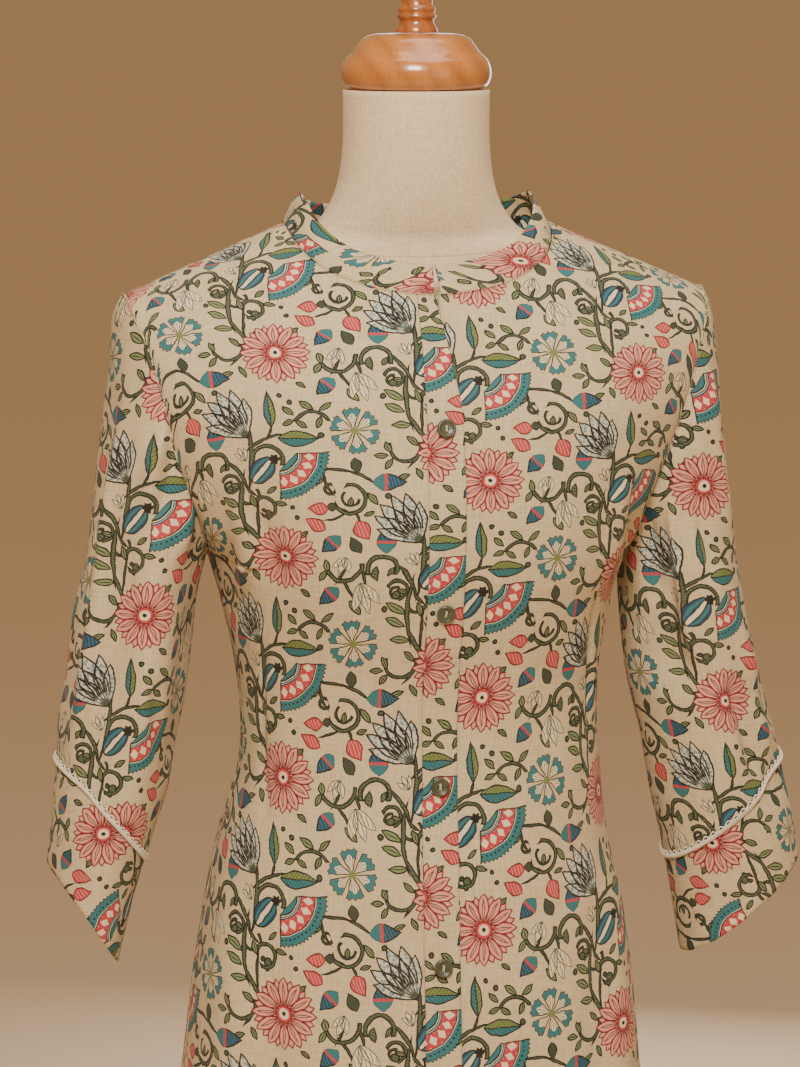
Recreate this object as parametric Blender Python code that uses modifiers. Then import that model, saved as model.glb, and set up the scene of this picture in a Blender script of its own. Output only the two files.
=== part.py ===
"""A printed kurta tunic, buttoned down the front, on a limbless dress form with a turned stand.

Metres, +Z up, the front facing -Y and the wearer's right at -X. The origin is the middle of
the stand foot's underside. Cloth pieces are thin walls placed on two surfaces, one for the
body of the tunic and one for each sleeve, so neighbours share their seam's points.
"""

import math

import bmesh
import bpy
from mathutils import Vector

COLLECTION = "kurta_on_dress_form"

# Cloth
CLOTH = 0.0015  # thickness of every wall of cloth
SEAM = 0.0002  # each piece stops this far from its seam
LAID_ON = 0.0004  # air under a piece that lies on another
HEM = 0.330
ARMPIT = 1.197
SHOULDER_TIP = 1.380
NECK_POINT = 1.429
NECK_FRONT = 1.384
NECK_BACK = 1.414
RIDGE_Y = 0.010  # shoulder seams lie just behind the middle
SHOULDER_ROLL_FROM = 1.285  # the chest starts to roll over to the shoulder seam here
NECK_SHARE = 0.30  # share of the way from centre to side at which the neck opening ends
COLLAR_HEIGHT = 0.024
SLIT_TOP = 0.700
SLIT_GAP = 0.009  # half the width of the open side slit, at the hem
BODY_FULLNESS = 2.25  # exponent of the body's superellipse
ARMHOLE_DEPTH = 0.056  # from the middle plane to the armhole's front or back edge

# height, half width on the wearer's right and left, depth in front and behind
BODY = (
    (0.330, 0.230, 0.225, 0.136, 0.160),
    (0.500, 0.212, 0.207, 0.132, 0.156),
    (0.650, 0.193, 0.188, 0.127, 0.149),
    (0.820, 0.171, 0.165, 0.119, 0.137),
    (0.879, 0.164, 0.160, 0.115, 0.131),
    (0.933, 0.156, 0.152, 0.110, 0.122),
    (0.970, 0.149, 0.143, 0.107, 0.114),
    (1.003, 0.140, 0.138, 0.103, 0.106),
    (1.042, 0.129, 0.134, 0.099, 0.097),
    (1.081, 0.128, 0.131, 0.098, 0.092),
    (1.117, 0.132, 0.132, 0.103, 0.091),
    (1.155, 0.140, 0.140, 0.115, 0.093),
    (1.197, 0.152, 0.151, 0.126, 0.096),
    (1.225, 0.163, 0.158, 0.128, 0.099),
    (1.250, 0.172, 0.166, 0.127, 0.102),
    (1.275, 0.180, 0.175, 0.123, 0.104),
    (1.305, 0.187, 0.186, 0.117, 0.106),
    (1.344, 0.196, 0.198, 0.107, 0.104),
    (1.380, 0.208, 0.210, 0.098, 0.098),
    (1.430, 0.208, 0.210, 0.088, 0.088),
)
HEIGHT, HALF_RIGHT, HALF_LEFT, FRONT, BACK = range(5)

# Soft waves of the skirt: degrees round from centre front to the wearer's left, out at the hem, half width in degrees
SKIRT_WAVES = (
    (-152, 0.013, 17),
    (-118, -0.010, 14),
    (-74, 0.012, 15),
    (-43, -0.009, 13),
    (-20, 0.007, 12),
    (24, -0.008, 13),
    (52, 0.012, 15),
    (86, -0.007, 12),
    (115, 0.012, 16),
    (148, -0.012, 17),
    (176, 0.008, 14),
)
WAVES_FROM = 0.980

# Sleeves, worn: height, inner and outer distance from the middle, half depth. The wearer's right, then left
SLEEVE_RIGHT = (
    (0.880, 0.223, 0.277, 0.044),
    (0.950, 0.206, 0.271, 0.047),
    (1.000, 0.190, 0.265, 0.051),
    (1.050, 0.175, 0.260, 0.056),
    (1.100, 0.165, 0.251, 0.061),
    (1.150, 0.161, 0.244, 0.064),
    (1.215, 0.158, 0.234, 0.065),
    (1.300, 0.150, 0.223, 0.064),
    (1.380, 0.140, 0.209, 0.060),
)
SLEEVE_LEFT = (
    (0.880, 0.203, 0.300, 0.043),
    (0.950, 0.191, 0.291, 0.046),
    (1.000, 0.180, 0.282, 0.049),
    (1.050, 0.170, 0.270, 0.053),
    (1.100, 0.159, 0.256, 0.056),
    (1.150, 0.153, 0.244, 0.060),
    (1.215, 0.152, 0.232, 0.063),
    (1.300, 0.150, 0.225, 0.064),
    (1.380, 0.140, 0.211, 0.060),
)
INNER, OUTER, HALF_DEPTH = 1, 2, 3

# Sleeve folds: degrees round from the outside towards the front, depth, half width in degrees, top and bottom
FOLDS_RIGHT = (
    (62, 0.006, 24, 1.250, 0.990),
    (150, 0.007, 26, 1.200, 1.020),
    (-80, 0.006, 28, 1.230, 1.000),
)
FOLDS_LEFT = (
    (118, 0.010, 26, 1.235, 1.080),
    (48, 0.006, 24, 1.110, 0.990),
    (-95, 0.007, 28, 1.220, 1.010),
)
SLEEVE_SETS_IN = 0.42  # share of the sleeve over which the armhole becomes a tube
# Middle heights of the cuff seam and hem, on the wearer's right (-1) and left (1)
CUFF_SEAM = {-1: 1.012, 1: 0.997}
CUFF_HEM = {-1: 0.936, 1: 0.923}
CUFF_SLANT = 0.074  # the cuff is this much lower at the inner side than at the outer
TRIM_WIDTH = 0.004

# Front band and buttons
BAND_RIGHT_EDGE = -0.0145
BAND_WIDTH = 0.025
BAND_MIDDLE = BAND_RIGHT_EDGE + BAND_WIDTH / 2
# height, width of the band: its free edge swings in to the collar's end
BAND_TOP = ((1.278, 0.0250), (1.304, 0.0248), (1.334, 0.0205), (1.360, 0.0160), (1.384, 0.0110))
BUTTON_RADIUS = 0.0066
BUTTON_THICK = 0.0030
BUTTON_COUNT = 6
BUTTON_FIRST = 1.295
BUTTON_STEP = 0.1272

# Mesh density
NECK_COLUMNS = 5
SIDE_COLUMNS = 6
ARMHOLE_ROWS = 10
SLEEVE_ROWS = 13
CUFF_ROWS = 3
COLLAR_ROWS = 3

# Dress form: height, half width, depth in front and behind, exponent
FORM = (
    (0.772, 0.132, 0.078, 0.098, 2.3),
    (0.776, 0.140, 0.086, 0.106, 2.3),
    (0.800, 0.150, 0.098, 0.118, 2.3),
    (0.860, 0.152, 0.101, 0.119, 2.3),
    (0.920, 0.146, 0.098, 0.109, 2.3),
    (0.975, 0.132, 0.092, 0.098, 2.3),
    (1.020, 0.121, 0.087, 0.086, 2.25),
    (1.065, 0.116, 0.084, 0.080, 2.2),
    (1.110, 0.120, 0.089, 0.080, 2.2),
    (1.160, 0.130, 0.104, 0.083, 2.2),
    (1.205, 0.143, 0.116, 0.086, 2.2),
    (1.250, 0.152, 0.115, 0.091, 2.2),
    (1.290, 0.161, 0.106, 0.094, 2.1),
    (1.325, 0.166, 0.090, 0.090, 2.0),
    (1.352, 0.172, 0.072, 0.078, 1.9),
    (1.375, 0.170, 0.058, 0.064, 1.8),
    (1.390, 0.161, 0.050, 0.056, 1.75),
    (1.402, 0.1500, 0.046, 0.052, 1.75),
    (1.411, 0.1300, 0.043, 0.048, 1.8),
    (1.420, 0.0860, 0.041, 0.047, 1.9),
    (1.429, 0.0710, 0.042, 0.049, 1.95),
    (1.449, 0.0585, 0.045, 0.053, 2.0),
    (1.480, 0.0525, 0.049, 0.0525, 2.0),
    (1.5225, 0.0520, 0.051, 0.0520, 2.0),
)
FORM_EXPONENT = 4
FORM_SHOULDER = 1.395  # the form's shoulders, which carry the tunic's, lie under its shoulder seams
FORM_COLUMNS = 28

# Turned wood and stand
STACKED = 0.0003  # stacked pieces touch with this much air
CAP_BOTTOM = FORM[-1][HEIGHT] + STACKED
CAP_TOP = 1.562
CAP_RADIUS = 0.053
FINIAL_TOP = 1.645
POLE_RADIUS = 0.0175
BASE_RADIUS = 0.190
BASE_HEIGHT = 0.034
TURNED_STEPS = 24

COLOURS = {
    "printed_cotton": ((0.60, 0.46, 0.31), 0.90),
    "crochet_trim": ((0.78, 0.70, 0.56), 0.90),
    "form_linen": ((0.60, 0.51, 0.38), 0.95),
    "cap_wood": ((0.48, 0.20, 0.06), 0.30),
    "stand_wood": ((0.24, 0.10, 0.04), 0.40),
    "button_horn": ((0.20, 0.15, 0.08), 0.35),
}


def clear_scene():
    for old in list(bpy.data.objects):
        bpy.data.objects.remove(old, do_unlink=True)


def make_materials():
    for name, (colour, roughness) in COLOURS.items():
        material = bpy.data.materials.new(name)
        material.use_nodes = True
        shader = material.node_tree.nodes["Principled BSDF"]
        shader.inputs["Base Color"].default_value = (*colour, 1.0)
        shader.inputs["Roughness"].default_value = roughness


def along(table, height, column):
    """A column of a table, read smoothly at any height."""
    if height <= table[0][HEIGHT]:
        return table[0][column]
    if height >= table[-1][HEIGHT]:
        return table[-1][column]
    above = next(i for i, row in enumerate(table) if row[HEIGHT] > height)
    below = above - 1

    def slope(i):
        low, high = table[max(i - 1, 0)], table[min(i + 1, len(table) - 1)]
        return (high[column] - low[column]) / (high[HEIGHT] - low[HEIGHT])

    span = table[above][HEIGHT] - table[below][HEIGHT]
    t = (height - table[below][HEIGHT]) / span
    return (
        (2 * t**3 - 3 * t**2 + 1) * table[below][column]
        + (t**3 - 2 * t**2 + t) * span * slope(below)
        + (3 * t**2 - 2 * t**3) * table[above][column]
        + (t**3 - t**2) * span * slope(above)
    )


def eased(share):
    share = min(max(share, 0.0), 1.0)
    return share * share * (3 - 2 * share)


def bell(offset, width):
    return math.exp(-((offset / width) ** 2))


def turn_between(angle, other):
    return (angle - other + 180) % 360 - 180


def half_width(height, side):
    """Half the body's width on one side: side is -1 for the wearer's right, 1 for the left."""
    return along(BODY, height, HALF_RIGHT if side < 0 else HALF_LEFT)


def ridge_height(across, side):
    """Height of the line over the shoulders, across metres from the middle."""
    tip = half_width(SHOULDER_TIP, side)
    neck_point = tip * math.sin(NECK_SHARE * math.pi / 2)
    return SHOULDER_TIP + (tip - across) * (NECK_POINT - SHOULDER_TIP) / (tip - neck_point)


def top_height(share, side, behind):
    """Where the body's cloth ends, at a share of the way from the centre to the side."""
    tip = half_width(SHOULDER_TIP, side)
    across = tip * math.sin(share * math.pi / 2)
    if share >= NECK_SHARE:
        return ridge_height(across, side)
    neck_point = tip * math.sin(NECK_SHARE * math.pi / 2)
    lowest = NECK_BACK if behind else NECK_FRONT
    return NECK_POINT - (NECK_POINT - lowest) * math.sqrt(1 - (across / neck_point) ** 2)


def skirt_wave(angle, height):
    """How far the skirt swings out, at an angle in radians."""
    share = max(0.0, (WAVES_FROM - height) / (WAVES_FROM - HEM)) ** 1.3
    return share * sum(
        out * bell(turn_between(math.degrees(angle), place), width)
        for place, out, width in SKIRT_WAVES
    )


def body_depth(across, height, side, behind):
    """Distance of the cloth in front of or behind the middle plane."""
    half = half_width(height, side)
    rise = min(max((height - ARMPIT) / 0.085, 0.0), 1.0)
    edge = ARMHOLE_DEPTH * math.sqrt(1 - (1 - rise) ** 2)
    power = 1 / BODY_FULLNESS + rise * (0.80 - 1 / BODY_FULLNESS)
    share = max(0.0, 1 - min(abs(across) / half, 1.0) ** BODY_FULLNESS) ** power
    depth = edge + (along(BODY, height, BACK if behind else FRONT) - edge) * share
    if height <= SHOULDER_ROLL_FROM:
        return depth
    climbed = (height - SHOULDER_ROLL_FROM) / (ridge_height(abs(across), side) - SHOULDER_ROLL_FROM)
    ridge = RIDGE_Y if behind else -RIDGE_Y
    return ridge + (depth - ridge) * math.sqrt(max(0.0, 1 - climbed**2))


def body(angle, level):
    """The body's outer surface: angle in radians from centre front to the wearer's left, and level
    from -1 at the hem through 0 at the armpits to 1 at the shoulders and neck."""
    side = -1 if math.sin(angle) < 0 else 1
    behind = math.cos(angle) < 0
    share = math.asin(min(abs(math.sin(angle)), 1.0)) / (math.pi / 2)
    if level <= 0:
        height = ARMPIT + level * (ARMPIT - HEM)
    else:
        height = ARMPIT + level * (top_height(share, side, behind) - ARMPIT)
    across = half_width(height, side) * abs(math.sin(angle))
    depth = body_depth(across, height, side, behind)
    wave = skirt_wave(angle, height)
    return Vector(
        (
            side * across + wave * math.sin(angle),
            (depth if behind else -depth) - wave * math.cos(angle),
            height,
        )
    )


def armhole_height(turn):
    """Height round the armhole: turn is 0 at the shoulder tip, pi at the armpit, positive in front."""
    return ARMPIT + (SHOULDER_TIP - ARMPIT) * (1 + math.cos(turn)) / 2


def armhole(side, turn):
    level = (armhole_height(turn) - ARMPIT) / (SHOULDER_TIP - ARMPIT)
    quarter = math.pi / 2 if turn >= 0 else math.pi / 2 + 1e-9
    return body(side * quarter, max(level, 1e-9))


def sleeve(side, turn, height):
    """A worn sleeve's tube: turn is 0 on the outside and positive towards the front."""
    table, folds = (SLEEVE_RIGHT, FOLDS_RIGHT) if side < 0 else (SLEEVE_LEFT, FOLDS_LEFT)
    inner, outer, deep = (along(table, height, i) for i in (INNER, OUTER, HALF_DEPTH))
    wave = 0.0
    for place, depth, width, top, bottom in folds:
        middle, reach = (top + bottom) / 2, (top - bottom) / 2
        length = eased((1 - abs(height - middle) / reach) * 2)
        wave -= depth * length * bell(turn_between(math.degrees(turn), place), width)
    return Vector(
        (
            side * ((inner + outer) / 2 + ((outer - inner) / 2 + wave) * math.cos(turn)),
            -(deep + wave) * math.sin(turn) + RIDGE_Y * 0.6,
            height,
        )
    )


def cuff_height(middle, turn):
    return middle + CUFF_SLANT / 2 * math.cos(turn)


def sleeve_from_armhole(side, turn, share):
    """The sleeve from its armhole seam, share 0, to its cuff seam, share 1."""
    top = armhole_height(turn)
    height = top + share * (cuff_height(CUFF_SEAM[side], turn) - top)
    return armhole(side, turn).lerp(sleeve(side, turn, height), eased(share / SLEEVE_SETS_IN))


def surface_normal(surface, first, second, outwards_from):
    """The unit normal of a surface at its two values, pointing away from a point."""
    step = 1e-4
    along_first = surface(first + step, second) - surface(first - step, second)
    along_second = surface(first, second + step) - surface(first, second - step)
    normal = along_first.cross(along_second).normalized()
    return -normal if normal.dot(surface(first, second) - outwards_from(first, second)) < 0 else normal


def body_axis(angle, level):
    return Vector((0, 0, body(angle, level).z - 0.02 * max(level, 0)))


def armhole_frame(side, turn):
    """At the armhole seam: its point, the direction across it from body to sleeve, and out of the cloth."""
    point = armhole(side, turn)
    ahead = (armhole(side, turn + 0.02) - armhole(side, turn - 0.02)).normalized()
    quarter = math.pi / 2 - 0.12 if turn >= 0 else math.pi / 2 + 0.12
    level = (armhole_height(turn) - ARMPIT) / (SHOULDER_TIP - ARMPIT)
    from_body = point - body(side * quarter, max(level, 1e-3))
    if turn == 0:
        from_body = Vector((side * 0.9, 0, -0.4))
    if abs(turn) == math.pi:
        from_body = Vector((0, 0, 1))
        ahead = Vector((0, side * 1.0, 0))
    to_sleeve = sleeve_from_armhole(side, turn, 0.10) - point
    across = from_body.normalized() + to_sleeve.normalized()
    across -= ahead * across.dot(ahead)
    across.normalize()
    normal = ahead.cross(across).normalized()
    sleeve_middle = Vector((side * 0.170, RIDGE_Y, point.z + 0.03 if abs(turn) > 2.6 else point.z - 0.04))
    if normal.dot(point - sleeve_middle) < 0:
        normal.negate()
    return point, across, normal


def add_object(name, mesh, material):
    mesh.materials.append(bpy.data.materials[material])
    mesh.shade_smooth()
    made = bpy.data.objects.new(name, mesh)
    bpy.data.collections[COLLECTION].objects.link(made)
    return made


def cloth_wall(name, rows, columns, place, material="printed_cotton", closed=False):
    """A wall of cloth: place(row, column) gives its outer and its inner point."""
    build = bmesh.new()
    number = build.verts.layers.int.new("number")
    bmesh.ops.create_grid(build, x_segments=columns, y_segments=rows, size=1.0)
    build.verts.ensure_lookup_table()
    pairs = []
    for index, vertex in enumerate(build.verts):
        row, column = divmod(index, columns + 1)
        outer, inner = place(row, column % columns if closed else column)
        pairs.append(inner)
        vertex.co = outer
        vertex[number] = index
    made = bmesh.ops.extrude_face_region(build, geom=list(build.faces), use_keep_orig=True)
    for element in made["geom"]:
        if isinstance(element, bmesh.types.BMVert):
            element.co = pairs[element[number]]
    if closed:
        seam_walls = [
            face
            for face in build.faces
            if all(v[number] % (columns + 1) == 0 for v in face.verts)
            or all(v[number] % (columns + 1) == columns for v in face.verts)
        ]
        bmesh.ops.delete(build, geom=seam_walls, context="FACES")
        bmesh.ops.remove_doubles(build, verts=list(build.verts), dist=1e-6)
    bmesh.ops.recalc_face_normals(build, faces=list(build.faces))
    if build.calc_volume(signed=True) < 0:
        bmesh.ops.reverse_faces(build, faces=list(build.faces))
    mesh = bpy.data.meshes.new(name)
    build.to_mesh(mesh)
    build.free()
    return add_object(name, mesh, material)


def body_levels():
    """Levels of the body's rows: the body table's heights up to the armpits, then the armhole's rows."""
    heights = [row[HEIGHT] for row in BODY if row[HEIGHT] < ARMPIT]
    heights.insert(1, (heights[0] + heights[1]) / 2)
    levels = [(height - ARMPIT) / (ARMPIT - HEM) for height in heights] + [0.0]
    turns = [math.pi * (1 - k / ARMHOLE_ROWS) for k in range(1, ARMHOLE_ROWS + 1)]
    return levels + [(1 + math.cos(turn)) / 2 for turn in turns]


def neck_shares():
    """Shares from centre front or back to the neck point, spaced evenly round the neck's curve."""
    reach = math.sin(NECK_SHARE * math.pi / 2)
    turns = [math.pi / 2 * i / NECK_COLUMNS for i in range(NECK_COLUMNS)]
    return [math.asin(reach * math.sin(turn)) / (math.pi / 2) for turn in turns] + [NECK_SHARE]


def column_shares():
    """Shares of the way from centre to side, closer together at the neck."""
    neck = neck_shares()[:-1]
    side = [NECK_SHARE + (1 - NECK_SHARE) * i / SIDE_COLUMNS for i in range(SIDE_COLUMNS)]
    return neck + side + [1.0]


def collar_direction(angle):
    """The way the collar rises from the neck seam: nearly flat in front, upright at the back."""
    inwards = neck_inwards(angle)
    lean = 0.42 + 0.30 * (1 + inwards.y) / 2
    return (inwards * lean + Vector((0, 0, 1))).normalized()


def neck_inwards(angle):
    """Level, towards the neck: straight across at the neck points, along the middle line in front and behind."""
    across = min(abs(math.sin(angle)) / math.sin(NECK_SHARE * math.pi / 2), 1.0)
    ahead = math.sqrt(1 - across * across)
    return Vector((math.copysign(across, -math.sin(angle)), math.copysign(ahead, math.cos(angle)), 0))


def neck_normal(angle):
    rise = collar_direction(angle)
    inwards = neck_inwards(angle)
    return (-(inwards - rise * inwards.dot(rise))).normalized()


def body_edge(angle, level, share, side, behind):
    """Point and outward direction of the body's cloth, with its seams pulled back."""
    point = body(angle, level)
    at_armhole = share == 1 and level > 0
    at_top = level == 1
    if at_armhole or (share == 1 and level == 0):
        turn = math.acos(min(max(2 * level - 1, -1.0), 1.0)) * (-1 if behind else 1)
        point, across, normal = armhole_frame(side, turn)
        point = point - across * SEAM
    elif at_top and share >= NECK_SHARE:
        slope = math.atan2(NECK_POINT - SHOULDER_TIP, 0.11)
        normal = Vector((side * math.sin(slope), 0, math.cos(slope)))
    elif at_top:
        normal = neck_normal(angle)
        point = point - collar_direction(angle) * SEAM
    else:
        normal = surface_normal(body, angle, level, body_axis)
    if share == 1 and level <= 0 or at_top and share >= NECK_SHARE:
        point = point + Vector((0, SEAM if behind else -SEAM, 0))
    return point, normal


def body_panel(name, spans):
    """A panel of the body: spans lists (side, behind, whether the share runs from the side inwards)."""
    levels = body_levels()
    shares = column_shares()
    columns = []
    for side, behind, inwards in spans:
        run = list(reversed(shares)) if inwards else list(shares)
        columns += [(side, behind, share) for share in run if not (columns and share == run[0])]

    def place(row, column):
        side, behind, share = columns[column]
        level = levels[row]
        height = ARMPIT + min(level, 0) * (ARMPIT - HEM)
        slit = SLIT_GAP * max(0.0, (SLIT_TOP - height) / (SLIT_TOP - HEM)) / half_width(height, side)
        edge = share * (math.pi / 2 - slit)
        centre = SEAM / half_width(height, side) if share == 0 and not behind else 0.0
        angle = side * (math.pi - edge if behind else edge + centre)
        point, normal = body_edge(angle, level, share, side, behind)
        return point, point - normal * CLOTH

    return cloth_wall(name, len(levels) - 1, len(columns) - 1, place)


def make_body_panels():
    body_panel("front_right", [(-1, False, True)])
    body_panel("front_left", [(1, False, False)])
    body_panel("back", [(1, True, True), (-1, True, False)])


def make_sleeve(side, name):
    columns = 2 * ARMHOLE_ROWS

    def place(row, column):
        turn = math.pi * (1 - column / ARMHOLE_ROWS)
        share = (row / SLEEVE_ROWS) ** 1.15
        if row == 0:
            point, across, normal = armhole_frame(side, turn)
            tight = bell(turn, 0.35) + bell(abs(turn) - math.pi, 0.9)
            point = point + across * SEAM * (1 + 5 * tight)
        else:
            if row == SLEEVE_ROWS:
                share -= 2 * SEAM / (armhole_height(turn) - CUFF_SEAM[side])
            point = sleeve_from_armhole(side, turn, share)
            normal = surface_normal(
                lambda t, s: sleeve_from_armhole(side, t, s), turn, share, lambda t, s: sleeve_middle(side, t, s)
            )
        return point, point - normal * CLOTH

    cloth_wall(name, SLEEVE_ROWS, columns, place, closed=True)


def sleeve_middle(side, turn, share):
    """A point inside the sleeve, level with a point on it."""
    point = sleeve_from_armhole(side, turn, share)
    table = SLEEVE_RIGHT if side < 0 else SLEEVE_LEFT
    return Vector((side * (along(table, point.z, INNER) + along(table, point.z, OUTER)) / 2, RIDGE_Y * 0.6, point.z))


def tube_point(side, turn, middle, out):
    """A point of the slanted ring whose middle has this height, moved out from the sleeve."""
    def surface(t, m):
        return sleeve(side, t, cuff_height(m, t))

    def inside(t, m):
        table = SLEEVE_RIGHT if side < 0 else SLEEVE_LEFT
        height = cuff_height(m, t)
        return Vector(
            (side * (along(table, height, INNER) + along(table, height, OUTER)) / 2, RIDGE_Y * 0.6, height)
        )

    return surface(turn, middle) + surface_normal(surface, turn, middle, inside) * out


def make_cuff(side, name):
    def place(row, column):
        turn = math.pi * (1 - column / ARMHOLE_ROWS)
        top = CUFF_SEAM[side] - SEAM
        middle = top + (CUFF_HEM[side] - top) * row / CUFF_ROWS
        return tube_point(side, turn, middle, 0.0), tube_point(side, turn, middle, -CLOTH)

    cloth_wall(name, CUFF_ROWS, 2 * ARMHOLE_ROWS, place, closed=True)


def make_cuff_trim(side, name):
    """The crochet edging laid over the cuff seam."""
    def place(row, column):
        turn = math.pi * (1 - column / ARMHOLE_ROWS)
        middle = CUFF_SEAM[side] + TRIM_WIDTH * (0.5 - row)
        return (
            tube_point(side, turn, middle, LAID_ON + CLOTH),
            tube_point(side, turn, middle, LAID_ON),
        )

    cloth_wall(name, 1, 2 * ARMHOLE_ROWS, place, "crochet_trim", closed=True)


def make_collar():
    """A narrow standing band round the neck seam, open at centre front."""
    shares = neck_shares()
    quarter = math.pi / 2
    angles = [-quarter * share for share in shares]
    angles += [-(math.pi - quarter * share) for share in reversed(shares)]
    angles += [math.pi - quarter * share for share in shares[1:]]
    angles += [quarter * share for share in reversed(shares)]
    angles[0] -= 0.012
    angles[-1] += 0.012

    def place(row, column):
        angle = angles[column]
        foot = body(angle, 1.0) + collar_direction(angle) * 4 * SEAM
        point = foot + collar_direction(angle) * (COLLAR_HEIGHT * row / COLLAR_ROWS)
        return point, point - neck_normal(angle) * CLOTH

    cloth_wall("collar", COLLAR_ROWS, len(angles) - 1, place)


def front_point(across, level, out):
    """A point of the front, across metres from its middle, moved out from the cloth."""
    height = body(0.0, level).z
    angle = math.asin(across / half_width(height, 1))
    point = body(angle, level)
    return point + surface_normal(body, angle, level, body_axis) * out


def make_front_band():
    """The band that the buttons close, laid over both front edges."""
    levels = body_levels()
    shares = (0.0, 0.5, 1.0)

    def place(row, column):
        level = levels[row]
        if row == len(levels) - 1:
            level -= 0.006
        height = body(0.0, level).z
        width = along(BAND_TOP, height, 1)
        across = BAND_RIGHT_EDGE + width * shares[column]
        return (
            front_point(across, level, LAID_ON + CLOTH),
            front_point(across, level, LAID_ON),
        )

    cloth_wall("front_band", len(levels) - 1, len(shares) - 1, place)


def turned(name, profile, material):
    """A piece turned about +Z, from (radius, height) points listed from the top down."""
    mesh = bpy.data.meshes.new(name)
    build = bmesh.new()
    ring = [build.verts.new((radius, 0, height)) for radius, height in profile]
    for upper, lower in zip(ring, ring[1:]):
        build.edges.new((upper, lower))
    build.to_mesh(mesh)
    build.free()
    made = add_object(name, mesh, material)
    screw = made.modifiers.new("Turn", "SCREW")
    screw.steps = screw.render_steps = TURNED_STEPS
    screw.use_merge_vertices = True
    screw.merge_threshold = 1e-5
    return made


def make_buttons():
    """Domed buttons, 6 down the band, each on its own place of the front."""
    for number in range(1, BUTTON_COUNT + 1):
        height = BUTTON_FIRST - BUTTON_STEP * (number - 1)
        level = (height - ARMPIT) / (ARMPIT - HEM)
        if level > 0:
            level = (height - ARMPIT) / (top_height(0, 1, False) - ARMPIT)
        seat = front_point(BAND_MIDDLE, level, 2.5 * LAID_ON + CLOTH)
        facing = front_point(BAND_MIDDLE, level, 1.0) - front_point(BAND_MIDDLE, level, 0.0)
        profile = (
            (0.0, BUTTON_THICK * 0.80),
            (BUTTON_RADIUS * 0.62, BUTTON_THICK * 0.86),
            (BUTTON_RADIUS * 0.82, BUTTON_THICK),
            (BUTTON_RADIUS, BUTTON_THICK * 0.55),
            (BUTTON_RADIUS * 0.86, 0.0),
            (0.0, 0.0),
        )
        button = turned(f"button_{number}", profile, "button_horn")
        button.modifiers["Turn"].steps = button.modifiers["Turn"].render_steps = 16
        button.location = seat
        button.rotation_euler = facing.to_track_quat("Z", "Y").to_euler()


def form_point(height, angle):
    half, front, behind = (along(FORM, height, i) for i in (1, 2, 3))
    exponent = along(FORM, height, FORM_EXPONENT)
    share = max(0.0, 1 - abs(math.sin(angle)) ** exponent) ** (1 / exponent)
    depth = -front * share if math.cos(angle) > 0 else behind * share
    depth += RIDGE_Y * bell(height - FORM_SHOULDER, 0.042)
    return Vector((half * math.sin(angle), depth, height))


def make_form():
    """The smooth torso of the form, with its neck, closed at both ends."""
    build = bmesh.new()
    rows = len(FORM) - 1
    bmesh.ops.create_grid(build, x_segments=FORM_COLUMNS, y_segments=rows, size=1.0)
    build.verts.ensure_lookup_table()
    for index, vertex in enumerate(build.verts):
        row, column = divmod(index, FORM_COLUMNS + 1)
        vertex.co = form_point(FORM[row][HEIGHT], 2 * math.pi * (column % FORM_COLUMNS) / FORM_COLUMNS)
    bmesh.ops.remove_doubles(build, verts=list(build.verts), dist=1e-6)
    bmesh.ops.holes_fill(build, edges=list(build.edges), sides=0)
    bmesh.ops.recalc_face_normals(build, faces=list(build.faces))
    mesh = bpy.data.meshes.new("form_body")
    build.to_mesh(mesh)
    build.free()
    mesh.shade_smooth()
    add_object("form_body", mesh, "form_linen")


def rounded_edge(radius, height, round_by, steps, start, end):
    """Points of a rounded corner of a turned profile, from one angle to another, in degrees."""
    angles = [math.radians(start + (end - start) * i / steps) for i in range(steps + 1)]
    return [
        (radius - round_by + round_by * math.sin(a), height - round_by + round_by * math.cos(a))
        for a in angles
    ]


def make_cap_and_finial():
    turned(
        "neck_cap",
        [(0.0, CAP_TOP), (0.020, CAP_TOP)]
        + rounded_edge(CAP_RADIUS, CAP_TOP - 0.001, 0.024, 6, 0, 90)
        + [(CAP_RADIUS, CAP_BOTTOM + 0.003), (CAP_RADIUS - 0.002, CAP_BOTTOM), (0.0, CAP_BOTTOM)],
        "cap_wood",
    )
    foot = CAP_TOP + STACKED
    ball = 0.021
    middle = FINIAL_TOP - 0.030
    neck_turn = [
        (ball * math.sin(math.radians(a)), middle + ball * math.cos(math.radians(a)))
        for a in range(35, 160, 20)
    ]
    turned(
        "finial",
        [(0.0, FINIAL_TOP), (0.005, FINIAL_TOP - 0.002), (0.006, FINIAL_TOP - 0.008)]
        + neck_turn
        + [
            (0.0108, foot + 0.019),
            (0.0130, foot + 0.016),
            (0.0138, foot + 0.012),
            (0.0118, foot + 0.009),
            (0.0138, foot + 0.006),
            (0.0150, foot + 0.002),
            (0.0150, foot),
            (0.0, foot),
        ],
        "cap_wood",
    )


def make_stand():
    top = FORM[0][HEIGHT] - STACKED
    foot = BASE_HEIGHT + STACKED
    turned(
        "stand_pole",
        [
            (0.0, top),
            (0.030, top),
            (0.030, top - 0.010),
            (POLE_RADIUS, top - 0.022),
            (POLE_RADIUS, 0.150),
            (0.024, 0.135),
            (0.024, 0.125),
            (0.019, 0.115),
            (0.020, 0.080),
            (0.034, foot + 0.012),
            (0.036, foot),
            (0.0, foot),
        ],
        "stand_wood",
    )
    turned(
        "stand_foot",
        [(0.0, BASE_HEIGHT), (0.052, BASE_HEIGHT), (0.060, BASE_HEIGHT - 0.008), (0.150, 0.022)]
        + rounded_edge(BASE_RADIUS, 0.018, 0.008, 4, 0, 90)
        + [(BASE_RADIUS, 0.003), (BASE_RADIUS - 0.003, 0.0), (0.0, 0.0)],
        "stand_wood",
    )


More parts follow.
